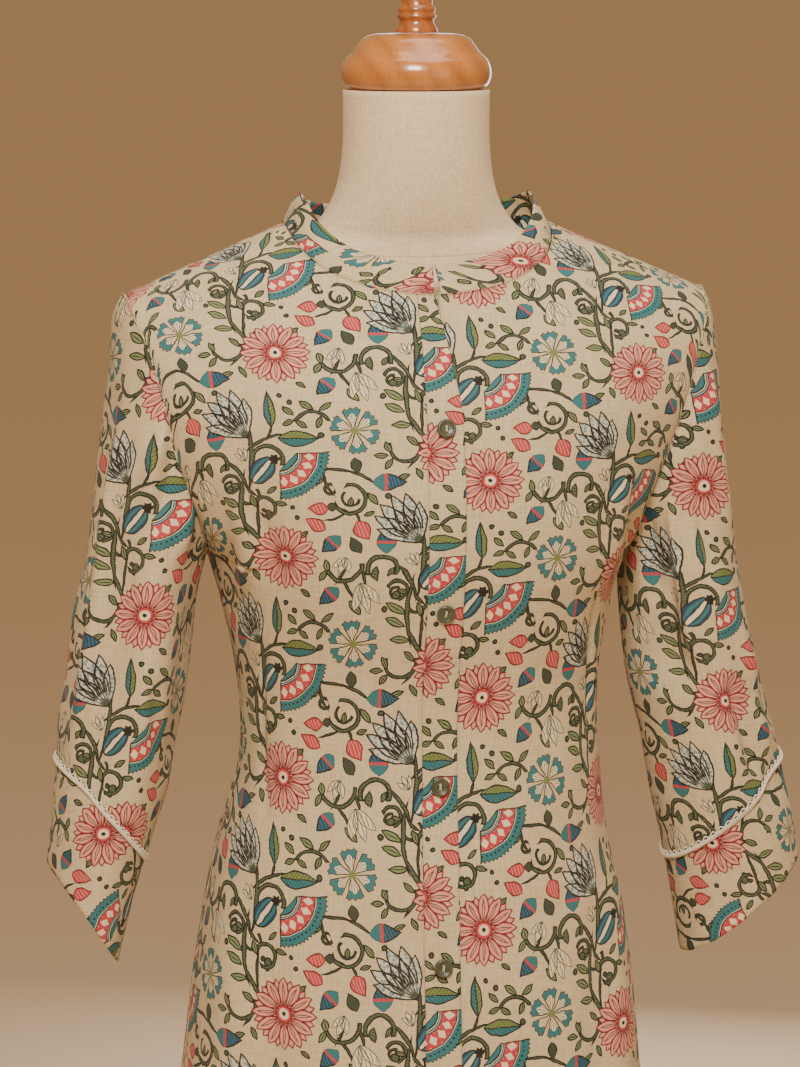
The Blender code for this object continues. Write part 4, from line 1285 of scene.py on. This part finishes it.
    # the lotus
    found = lenses(net, xa, ya, petals_from(LOTUS_BASE, LOTUS), swell=-0.25)
    field = net.lowest(nearest(net, [f[0] for f in found]))
    ring = net.lowest(nearest(net, [net.v("ABSOLUTE", f[0]) for f in found]))
    lay(net.inside(field, 0.3), "cream")
    speck = net.node("ShaderNodeTexVoronoi", {"Vector": wander, "Scale": 0.36}, voronoi_dimensions="2D")
    spots = net.inside(speck.outputs["Distance"], 0.32, 0.12)
    fill(net.times(net.inside(field, -0.4), net.times_add(spots, 0.55, 0.35)), "pale_blue")
    fill(net.times(net.inside(field, -0.6), net.times(spots, 0.45)), "blue")
    away, _ = polar(net, xa, ya, LOTUS_BASE)
    open_lines = net.times(net.inside(ring, 0.58), net.inside(net.less(9.5, away), 0.0, 3.0))
    rim = net.inside(net.size(field), 0.68)
    lay(net.times(net.f("MAXIMUM", open_lines, rim), net.inside(field, 0.6)), "outline")
    ribs = net.lowest(nearest(net, [net.v("MULTIPLY_ADD", f[1], (1.6, 1.6, 1.6), f[2]) for f in found[:2]]))
    fill(net.times(net.inside(ribs, -0.55), net.inside(field, -0.6)), "stem")

    # the carnation
    radius, angle = polar(net, xb, yb, CARNATION)
    turn = net.f("WRAP", net.less(angle, math.radians(98)), math.radians(30), -math.radians(30))
    side = net.size(turn)
    edge = net.times(net.less(side, math.radians(24)), radius)
    teeth = net.size(net.f("WRAP", net.times(turn, 17.0 / 4.2), 0.5, -0.5))
    reach = net.times_add(teeth, -3.2, 17.9)
    petal = net.f("MAXIMUM", edge, net.less(radius, reach))
    lay(net.inside(petal), "outline")
    inner = net.inside(petal, -0.85)
    fill(inner, "cream")
    tips = net.inside(net.times_add(side, -9.0, net.less(13.2, radius)))
    fill(net.times(inner, tips), "teal")
    rays = net.size(net.f("WRAP", net.times(turn, 5.2), 0.5, -0.5))
    dashes = net.times(net.inside(rays, 0.13, 0.10), net.inside(net.less(4.0, radius)))
    dashes = net.times(dashes, net.inside(net.less(radius, 12.2)))
    lay(net.times(dashes, 0.9), "outline")
    lay(net.inside(radius, 2.8), "olive")

    # the dahlia
    radius, angle = polar(net, xa, ya, (0.0, 0.0))
    step = math.radians(15)
    first = net.f("WRAP", angle, step, -step)
    second = net.f("WRAP", net.f("ADD", angle, step), step, -step)
    turns = net.join(second, first, 0.0)
    ahead = net.v("MULTIPLY", net.v("COSINE", turns), radius)
    off = net.v("ABSOLUTE", net.v("MULTIPLY", net.v("SINE", turns), radius))
    way = net.v("MULTIPLY_ADD", ahead, (1 / 10.4, 1 / 10.6, 1), (-14.0 / 10.4, -14.8 / 10.6, 0))
    width = net.v("MULTIPLY_ADD", way, (0.9, 1.1, 0), (3.8, 4.3, 1))
    petals = net.v("MULTIPLY_ADD", net.v("MULTIPLY_ADD", way, way, -1.0), width, off)
    behind, before, _ = net.split(petals)
    off, way = net.split(off)[1], net.split(way)[1]
    for petal in (behind, before):
        lay(net.inside(petal), "rose_edge")
        fill(net.inside(petal, -0.78), "coral")
        fill(net.inside(petal, -1.20), "pink")
    rib = net.times_add(net.f("POWER", net.f("ADD", way, 0.1), 2.0), 1.9, off)
    rib = net.size(net.less(rib, 0.85))
    fill(net.times(net.inside(rib, 0.34), 0.9), "rose_edge")
    lay(net.inside(radius, 6.2), "rose_edge")
    fill(net.inside(radius, 5.6), "coral")
    fill(net.inside(radius, 3.9), "cream")
    fill(net.inside(radius, 1.5), "stem_edge")

    # the fan
    radius, angle = polar(net, xa, ya, FAN)
    turn = net.less(angle, FAN_MIDDLE)
    sector = net.times(net.less(net.size(turn), FAN_HALF), radius)
    teeth = net.size(net.f("WRAP", net.times(turn, 34.0 / 3.0), 0.5, -0.5))
    rim = net.less(radius, net.times_add(teeth, -3.4, 36.0))
    whole = net.f("MAXIMUM", net.f("MAXIMUM", sector, rim), net.less(13.0, radius))
    chord = net.times_add(net.f("COSINE", turn), net.times(radius, -1.0), 8.8)
    dome = net.f("MAXIMUM", chord, net.less(radius, 13.4))
    lay(net.inside(dome), "outline")
    fill(net.inside(dome, -0.6), "teal")
    bands = net.node("ShaderNodeValToRGB", {"Fac": net.times(radius, 1 / 40.0)})
    ramp = bands.color_ramp
    ramp.interpolation = "CONSTANT"
    tones = (
        (0.0, "outline"), (13.6, "cream"), (14.5, "outline"), (15.1, "pale_blue"), (16.0, "outline"),
        (16.7, "coral"), (26.6, "outline"), (27.4, "cream"), (27.9, "teal"),
    )
    for at, name in tones:
        stop = ramp.elements[0] if at == 0.0 else ramp.elements.new(at / 40.0)
        stop.color = INK[name]
    last = [e for e in ramp.elements if e.position > 0.99]
    if last:
        ramp.elements.remove(last[0])
    lay(net.inside(whole), "outline")
    core = net.inside(whole, -0.85)
    fill(core, bands.outputs["Color"])
    run = net.size(net.f("WRAP", net.times(turn, 21.7), 3.53, -3.53))
    apart = net.size(net.less(radius, 21.7))
    pale = net.inside(net.times_add(apart, 0.72, run), 2.9)
    corner = net.inside(net.times_add(apart, -0.72, net.times_add(run, -1.0, 6.4)))
    inner = net.times(net.inside(net.less(apart, 4.6)), core)
    fill(net.times(net.f("MAXIMUM", pale, corner), inner), "cream")
    bead = net.f("WRAP", net.times(turn, 31.0), 1.7, -1.7)
    bead = net.v("LENGTH", net.join(bead, net.less(radius, 30.6)))
    fill(net.times(net.inside(bead, 0.72), core), "outline")

    # the pomegranate
    cosine, sine = math.cos(math.radians(52)), math.sin(math.radians(52))
    across = net.less(xa, POMEGRANATE[0])
    up = net.less(ya, POMEGRANATE[1])
    way = net.times_add(across, cosine / 12.4, net.times(up, sine / 12.4))
    off = net.times_add(across, -sine / 8.2, net.times(up, cosine / 8.2))
    room = net.times_add(net.times(way, way), -1.0, 1.0)
    room = net.f("SQRT", net.f("MAXIMUM", room, 0.0001))
    rind = net.times(net.less(net.v("LENGTH", net.join(way, off)), 1.0), 9.0)
    lines = net.size(net.f("DIVIDE", off, room))
    lay(net.inside(rind), "outline")
    skin = net.inside(rind, -0.9)
    fill(skin, "blue")
    middle_lines = net.size(net.less(lines, 0.55))
    fill(net.times(skin, net.inside(middle_lines, 0.13, 0.06)), "teal")
    fill(net.times(skin, net.inside(lines, 0.30, 0.06)), "outline")
    fill(net.times(skin, net.inside(lines, 0.21, 0.06)), "cream")
    crown = lenses(net, xa, ya, [(-4.5, -83.5, 9, 4, way) for way in (60, 0, -60)])[0][0]
    lay(net.inside(net.lowest(crown)), "outline")

    net.put(out["Colour"], colour)
    net.put(out["Ink"], ink)
    return tree


def make_weave_group():
    """A plain weave of uneven threads over the chart of the cloth, in metres."""
    tree, net, given, out = new_group(
        "uneven_weave",
        (("Chart", "NodeSocketVector", None), ("Threads per metre", "NodeSocketFloat", 1600.0)),
        (("Height", "NodeSocketFloat"), ("Shade", "NodeSocketFloat")),
    )
    u, w, _ = net.split(given["Chart"])
    turn = net.times(given["Threads per metre"], math.pi)
    warp = net.f("SINE", net.times(u, turn))
    weft = net.f("SINE", net.times(w, turn))
    over = net.times(warp, weft)
    cords = [
        net.noise(given["Chart"], stretch=stretch, flat=True)["Fac"]
        for stretch in ((1500, 60, 1), (60, 1500, 1))
    ]
    slub = net.times_add(cords[0], 0.5, net.times(cords[1], 0.5))
    net.put(out["Height"], net.times_add(over, 0.35, slub))
    # Painted light on the weave: lighter on the raised thread crossings and darker on the sunk ones, over
    # the slub's own uneven tone; this comes out as Shade
    relief_light_and_slub = net.times_add(over, 0.10, slub)
    relief_light_and_slub = net.node("ShaderNodeMapRange", {"Value": relief_light_and_slub, "From Min": 0.32, "From Max": 0.68})
    net.put(out["Shade"], relief_light_and_slub.outputs[0])
    return tree


def material_net(name, roughness=0.9, sheen=0.0, coat=0.0):
    material = bpy.data.materials.new(name)
    material.use_nodes = True
    shader = material.node_tree.nodes["Principled BSDF"]
    shader.inputs["Roughness"].default_value = roughness
    if sheen:
        shader.inputs["Sheen Weight"].default_value = sheen
        shader.inputs["Sheen Roughness"].default_value = 0.5
    if coat:
        shader.inputs["Coat Weight"].default_value = coat
        shader.inputs["Coat Roughness"].default_value = 0.12
    return material, Net(material.node_tree), shader


def bump(net, shader, height, distance, strength=1.0):
    made = net.node("ShaderNodeBump", {"Height": height, "Distance": distance, "Strength": strength})
    net.put(shader.inputs["Normal"], made.outputs[0])


def printed_cotton(print_group, weave_group):
    material, net, shader = material_net("printed_slub_cotton", 0.86, sheen=0.05)
    shader.inputs["Specular IOR Level"].default_value = 0.25
    chart = net.node("ShaderNodeUVMap", uv_map="Cloth").outputs[0]
    figure = net.node("ShaderNodeGroup", node_tree=print_group)
    net.put(figure.inputs["Chart"], chart)
    weave = net.node("ShaderNodeGroup", node_tree=weave_group)
    net.put(weave.inputs["Chart"], chart)
    # Painted highlight: the cloth is mixed towards pale cream where the weave's Shade is high, on the raised
    # thread crossings, partly the slub's own paler tone; less under the ink
    bare = net.times_add(figure.outputs["Ink"], -0.31, 0.34)
    dry = net.times_add(figure.outputs["Ink"], -0.85, 1.0)
    ground = net.times(weave.outputs["Shade"], bare)
    ground = net.mix(ground, figure.outputs["Colour"], shade(238, 224, 200))
    # Painted shade: brown is mixed in where the weave's Shade is low, in the sunk thread crossings, partly
    # the slub's own darker tone; less under the ink
    thin = net.times_add(weave.outputs["Shade"], -0.30, 0.27, clamp=True)
    worn = net.mix(net.times(thin, dry), ground, shade(118, 90, 58))
    cloud = net.times_add(net.noise(chart, 9.0, 3.0, flat=True)["Fac"], 0.5, -0.17, clamp=True)
    tint = net.mix(net.times(cloud, dry), worn, shade(190, 160, 124))
    net.put(shader.inputs["Base Color"], tint)
    net.put(shader.inputs["Roughness"], net.times_add(weave.outputs["Shade"], 0.10, 0.80))
    bump(net, shader, weave.outputs["Height"], 0.00022, 0.7)
    return material


def crochet_cord():
    material, net, shader = material_net("crochet_cord", 0.88, sheen=0.2)
    place = net.object_place()
    fuzz = net.noise(place, 900.0, 3.0)["Fac"]
    net.put(shader.inputs["Base Color"], net.mix(fuzz, shade(196, 178, 148), shade(240, 228, 204)))
    bump(net, shader, fuzz, 0.0003, 0.6)
    return material


def linen_form():
    """Off-white speckled linen over the form, with the sewn seam round its neck faintly drawn in."""
    material, net, shader = material_net("form_linen_weave", 0.92, sheen=0.1)
    place = net.object_place()
    _, y, z = net.split(place)
    speck = net.noise(place, 620.0, rough=0.7)["Fac"]
    threads = [net.noise(place, stretch=stretch)["Fac"] for stretch in ((900, 900, 60), (70, 70, 1500))]
    weave = net.times_add(threads[0], 0.5, net.times(threads[1], 0.5))
    colour = net.mix(net.times_add(weave, 2.6, -0.8, clamp=True), shade(216, 184, 140), shade(244, 218, 180))
    colour = net.mix(net.times_add(speck, 3.4, -1.85, clamp=True), colour, shade(170, 152, 124))
    clouds = net.noise(place, 14.0)["Fac"]
    colour = net.mix(net.times_add(clouds, 0.4, -0.12, clamp=True), colour, shade(206, 186, 154))
    ring = net.size(net.less(z, net.times_add(y, 0.50, 1.424)))
    line = net.times_add(ring, -1 / 0.0009, 1.0, clamp=True)
    colour = net.mix(net.times(line, 0.35), colour, shade(150, 132, 104))
    net.put(shader.inputs["Base Color"], colour)
    net.put(shader.inputs["Roughness"], net.times_add(weave, 0.12, 0.82))
    height = net.times_add(line, -1.2, weave)
    bump(net, shader, height, 0.0004, 0.5)
    return material


def make_grain_group():
    """Wood grain running up the piece: dark and light streaks, pores and a slow figure."""
    tree, net, given, out = new_group(
        "turned_grain",
        (("Place", "NodeSocketVector", None), ("Dark", "NodeSocketColor", (0.1, 0.05, 0.02, 1)),
         ("Light", "NodeSocketColor", (0.4, 0.2, 0.08, 1)), ("Rings per metre", "NodeSocketFloat", 90.0)),
        (("Colour", "NodeSocketColor"), ("Pores", "NodeSocketFloat")),
    )
    place = given["Place"]
    bent = net.noise(place, detail=3.0, stretch=(14, 14, 3))["Color"]
    x, _, z = net.split(net.v("MULTIPLY_ADD", bent, 0.030, place))
    rings = net.times(net.times_add(x, 0.86, net.times(z, 0.50)), given["Rings per metre"])
    growth = net.size(net.f("WRAP", rings, 0.5, -0.5))
    growth = net.f("POWER", net.times(growth, 2.0), 1.7)
    streaks = net.noise(place, detail=4.0, stretch=(420, 420, 26))["Fac"]
    pores = net.times_add(streaks, 6.0, -3.5, clamp=True)
    tone = net.times_add(streaks, 0.55, net.times(growth, 0.45))
    colour = net.mix(tone, given["Light"], given["Dark"])
    net.put(out["Colour"], net.mix(net.times(pores, 0.5), colour, given["Dark"]))
    net.put(out["Pores"], pores)
    return tree


def turned_wood(name, grain, dark, light, rings, roughness, coat):
    material, net, shader = material_net(name, roughness, coat=coat)
    place = net.object_place()
    wood = net.node("ShaderNodeGroup", node_tree=grain)
    net.put(wood.inputs["Place"], place)
    wood.inputs["Dark"].default_value = dark
    wood.inputs["Light"].default_value = light
    wood.inputs["Rings per metre"].default_value = rings
    net.put(shader.inputs["Base Color"], wood.outputs["Colour"])
    smudge = net.noise(place, 60.0)["Fac"]
    net.put(shader.inputs["Roughness"], net.times_add(smudge, 0.16, roughness - 0.08))
    bump(net, shader, wood.outputs["Pores"], -0.00015, 0.35)
    return material


def olive_horn():
    material, net, shader = material_net("olive_horn", 0.34, coat=0.25)
    place = net.object_place()
    cloud = net.noise(place, 330.0, 4.0)["Fac"]
    vein = net.noise(place, detail=3.0, stretch=(300, 300, 1100))["Fac"]
    tone = net.times_add(cloud, 1.4, net.times_add(vein, 0.8, -0.6), clamp=True)
    net.put(shader.inputs["Base Color"], net.mix(tone, shade(44, 48, 34), shade(92, 92, 66)))
    net.put(shader.inputs["Roughness"], net.times_add(cloud, 0.2, 0.26))
    bump(net, shader, cloud, 0.00008, 0.4)
    return material


def pale_thread():
    material, net, shader = material_net("pale_thread", 0.85, sheen=0.2)
    place = net.object_place()
    twist = net.noise(place, stretch=(2600, 2600, 1300))["Fac"]
    net.put(shader.inputs["Base Color"], net.mix(twist, shade(168, 156, 124), shade(226, 216, 184)))
    bump(net, shader, twist, 0.0001, 0.5)
    return material


def make_turned_wood(cap_wood, finial_wood, stand_wood):
    crown = smooth_profile(
        (
            (0.020, CAP_TOP),
            (0.0310, CAP_TOP - 0.0008),
            (0.0378, CAP_TOP - 0.0036),
            (0.0418, CAP_TOP - 0.0088),
            (0.0452, CAP_TOP - 0.0134),
            (0.0500, CAP_TOP - 0.0180),
            (0.0524, CAP_TOP - 0.0230),
            (CAP_RADIUS, CAP_BOTTOM + 0.0120),
            (CAP_RADIUS - 0.0004, CAP_BOTTOM + 0.0075),
            (CAP_RADIUS - 0.0024, CAP_BOTTOM + 0.0032),
            (CAP_RADIUS - 0.0062, CAP_BOTTOM + 0.0008),
            (CAP_RADIUS - 0.0100, CAP_BOTTOM),
        )
    )
    cap = turned(
        "cap_wood",
        [(0.0, CAP_TOP), (0.010, CAP_TOP)] + crown + [(0.0, CAP_BOTTOM)],
        cap_wood,
        128,
    )
    foot = CAP_TOP + STACKED
    ball = 0.021
    middle = FINIAL_TOP - 0.030
    neck_turn = [
        (ball * math.sin(math.radians(a)), middle + ball * math.cos(math.radians(a)))
        for a in range(35, 155, 12)
    ]
    upper = [(0.0, FINIAL_TOP), (0.003, FINIAL_TOP - 0.0005)]
    upper += [(0.0052, FINIAL_TOP - 0.003), (0.006, FINIAL_TOP - 0.008)]
    lower = [(radius, foot + up) for radius, up in FINIAL_BEADS] + [(0.0, foot)]
    finial = turned("finial_wood", upper + neck_turn + lower, finial_wood)
    top = FORM[0][HEIGHT] - STACKED
    base = BASE_HEIGHT + STACKED
    pole = turned(
        "pole_wood",
        [(0.0, top), (0.0290, top), (0.0300, top - 0.0010), (0.0300, top - 0.0095), (0.0292, top - 0.0108)]
        + [(0.0240, top - 0.0150), (0.0195, top - 0.0190), (POLE_RADIUS, top - 0.0230)]
        + [(POLE_RADIUS, 0.152), (0.0180, 0.146), (0.0225, 0.137), (0.0240, 0.132), (0.0240, 0.128)]
        + [(0.0225, 0.122), (0.0195, 0.116), (0.0186, 0.105), (0.0195, 0.085), (0.0235, 0.065)]
        + [(0.0300, base + 0.016), (0.0345, base + 0.009), (0.0360, base + 0.002)]
        + [(0.0355, base), (0.0, base)],
        stand_wood,
    )
    rim = [
        (BASE_RADIUS - 0.008 + 0.008 * math.sin(a), 0.010 + 0.008 * math.cos(a))
        for a in np.linspace(0.15, QUARTER, 8)
    ]
    plate = turned(
        "foot_wood",
        [(0.0, BASE_HEIGHT), (0.049, BASE_HEIGHT), (0.0525, BASE_HEIGHT - 0.0010)]
        + [(0.0550, BASE_HEIGHT - 0.0040), (0.0600, BASE_HEIGHT - 0.0080)]
        + [(0.100, 0.0235), (0.150, 0.0208), (0.172, 0.0192)]
        + rim
        + [(BASE_RADIUS, 0.0035), (BASE_RADIUS - 0.001, 0.0010), (BASE_RADIUS - 0.0030, 0.0), (0.0, 0.0)],
        stand_wood,
        128,
    )
    return cap, finial, pole, plate


def button_place(number):
    height = BUTTON_FIRST - BUTTON_STEP * (number - 1)
    level = (height - ARMPIT) / (ARMPIT - HEM)
    if level > 0:
        level = (height - ARMPIT) / (NECK_FRONT - ARMPIT)
    seat = Vector(front_point(BAND_MIDDLE, level, 2.5 * LAID_ON + CLOTH))
    facing = Vector(front_point(BAND_MIDDLE, level, 1.0) - front_point(BAND_MIDDLE, level, 0.0))
    return seat, facing.normalized()


def seat_turned(build, seat, facing, tilt):
    """Turns what lies about the origin by a small tilt and sets it on its seat, facing outwards."""
    turn = facing.to_track_quat("Z", "Y")
    for vertex in build.verts:
        x, y, z = vertex.co
        spun = Vector((x * math.cos(tilt) - y * math.sin(tilt), x * math.sin(tilt) + y * math.cos(tilt), z))
        vertex.co = seat + turn @ spun


def make_button(number, horn, thread):
    """A turned button with a raised rim and a sewing hollow bridged by thread."""
    seat, facing = button_place(number)
    build = bmesh.new()
    profile = smooth_profile(
        (
            (0.0, 0.00190),
            (0.0020, 0.00195),
            (0.0040, 0.00225),
            (0.0048, 0.00275),
            (0.0054, 0.00300),
            (0.0061, 0.00275),
            (0.0066, 0.00200),
            (0.0065, 0.00120),
            (0.0058, 0.00020),
            (0.0045, 0.00000),
            (0.0, 0.0),
        ),
        3,
    )
    spin_round(build, [(max(radius, 0.0), height) for radius, height in profile], 56, 1e-7)
    for vertex in build.verts:
        x, y, z = vertex.co
        if z > 0.0015:
            slot = 1 - (x / 0.0014) ** 2 - (y / 0.0034) ** 2
            vertex.co.z -= 0.0009 * float(eased(slot * 1.6))
    tilt = BUTTON_TILTS[number - 1]
    seat_turned(build, seat, facing, tilt)
    made = finished(build, f"button_{number}_horn", horn)

    build = bmesh.new()
    for lane in (-0.00062, -0.00021, 0.00021, 0.00062):
        run = np.linspace(-1, 1, 15)
        path = np.stack(
            (
                lane + 0.00012 * np.sin(run * 4 + lane * 9000),
                run * 0.0024,
                0.00140 + 0.00062 * (1 - run**4),
            ),
            -1,
        )
        tube_along(build, path, 0.00020, 6, closed=False)
    bmesh.ops.recalc_face_normals(build, faces=list(build.faces))
    seat_turned(build, seat, facing, tilt)
    return made, finished(build, f"button_{number}_thread", thread)


def dress(piece, node):
    """The piece stands for a node of the part: it hangs from the root, and the node's own mesh is hidden."""
    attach(piece, "root")
    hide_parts(node)


def main():
    cotton = printed_cotton(make_print_group(), make_weave_group())
    crochet = crochet_cord()
    linen = linen_form()
    grain = make_grain_group()
    cap_wood, finial_wood, stand_wood = (
        turned_wood(name, grain, dark, light, rings, roughness, coat)
        for name, dark, light, rings, roughness, coat in (
            ("cap_wood_polish", shade(158, 88, 34), shade(204, 130, 62), 60.0, 0.26, 0.7),
            ("finial_wood_polish", shade(134, 66, 26), shade(184, 106, 50), 100.0, 0.26, 0.7),
            ("stand_wood_stain", shade(78, 42, 22), shade(140, 86, 48), 80.0, 0.38, 0.4),
        )
    )
    horn = olive_horn()
    thread = pale_thread()

    front_right = body_panel("front_right_cloth", [(-1, False, True)], cotton, "last")
    front_left = body_panel("front_left_cloth", [(1, False, False)], cotton, "first")
    back = body_panel("back_cloth", [(1, True, True), (-1, True, False)], cotton, "back")
    band = make_front_band(cotton)
    collar = make_collar(cotton)
    dressed = [(front_right, "front_right"), (front_left, "front_left"), (back, "back")]
    dressed += [(band, "front_band"), (collar, "collar")]
    for side, name in ((-1, "right"), (1, "left")):
        dressed.append((make_sleeve(side, f"sleeve_{name}_cloth", cotton), f"sleeve_{name}"))
        dressed.append((make_cuff(side, f"cuff_{name}_cloth", cotton), f"cuff_{name}"))
    for piece, node in dressed:
        dress(piece, node)
    for side, name in ((-1, "right"), (1, "left")):
        trim = make_cuff_trim(side, f"cuff_trim_{name}_crochet", crochet)
        dress(trim, f"cuff_trim_{name}")
    for number in range(1, BUTTON_COUNT + 1):
        button, sewn = make_button(number, horn, thread)
        dress(button, f"button_{number}")
        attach(sewn, "root")
    dress(make_form(linen), "form_body")
    cap, finial, pole, plate = make_turned_wood(cap_wood, finial_wood, stand_wood)
    for piece, node, slot in (
        (cap, "neck_cap", "cap_wood"),
        (finial, "finial", "cap_wood"),
        (pole, "stand_pole", "stand_wood"),
        (plate, "stand_foot", "stand_wood"),
    ):
        dress(piece, node)


def look_at(thing, target):
    facing = Vector(target) - thing.location
    thing.rotation_euler = facing.to_track_quat("-Z", "Y").to_euler()


def soft_light(name, place, target, size, watts, colour=(1, 1, 1)):
    data = bpy.data.lights.new(name, "AREA")
    data.shape = "RECTANGLE"
    data.size, data.size_y = size
    data.energy = watts
    data.color = colour
    light = bpy.data.objects.new(name, data)
    bpy.context.collection.objects.link(light)
    light.location = place
    look_at(light, target)


def make_studio():
    build = bmesh.new()
    bmesh.ops.create_grid(build, x_segments=2, y_segments=2, size=400.0)
    floor = clear_of("floor")
    build.to_mesh(floor.data)
    build.free()
    floor.data.materials.append(plain_material("pale_floor", (0.78, 0.64, 0.48), 0.95))
    world = bpy.context.scene.world or bpy.data.worlds.new("studio")
    bpy.context.scene.world = world
    world.use_nodes = True
    world.node_tree.nodes["Background"].inputs["Color"].default_value = (0.94, 0.62, 0.34, 1)
    world.node_tree.nodes["Background"].inputs["Strength"].default_value = 0.47
    soft_light("key", (-0.55, -2.3, 2.9), (0, 0, 1.12), (0.8, 0.8), 92, (1, 0.96, 0.88))
    soft_light("fill", (1.4, -2.8, 1.6), (0, 0, 1.1), (1.6, 1.6), 7, (1, 0.97, 0.92))
    soft_light("top", (0.2, -0.2, 3.2), (0, 0, 1.2), (1.4, 1.4), 20, (1, 0.98, 0.94))
    soft_light("back", (1.0, 2.8, 1.1), (0, 0, 1.0), (1.4, 1.4), 22, (1, 0.97, 0.92))


# Camera
AZIMUTH = math.radians(-10.5)
DISTANCE = 2.60
AIM_HEIGHT = 1.205
CAMERA_HEIGHT = 1.60
LENS = 123.2
SENSOR_HEIGHT = 36.0
PIXEL = 0.00072
AIM_PIXELS_ASIDE = 16


def make_camera():
    right = Vector((math.cos(AZIMUTH), math.sin(AZIMUTH), 0))
    ahead = Vector((-math.sin(AZIMUTH), math.cos(AZIMUTH), 0))
    data = bpy.data.cameras.new("camera")
    data.sensor_fit = "VERTICAL"
    data.sensor_height = SENSOR_HEIGHT
    data.lens = LENS
    data.clip_end = 1000.0
    camera = bpy.data.objects.new("camera", data)
    bpy.context.collection.objects.link(camera)
    aim = -right * (AIM_PIXELS_ASIDE * PIXEL)
    aim.z = AIM_HEIGHT
    camera.location = Vector((aim.x, aim.y, CAMERA_HEIGHT)) - ahead * DISTANCE
    look_at(camera, aim)
    bpy.context.scene.camera = camera


main()
make_studio()
make_camera()
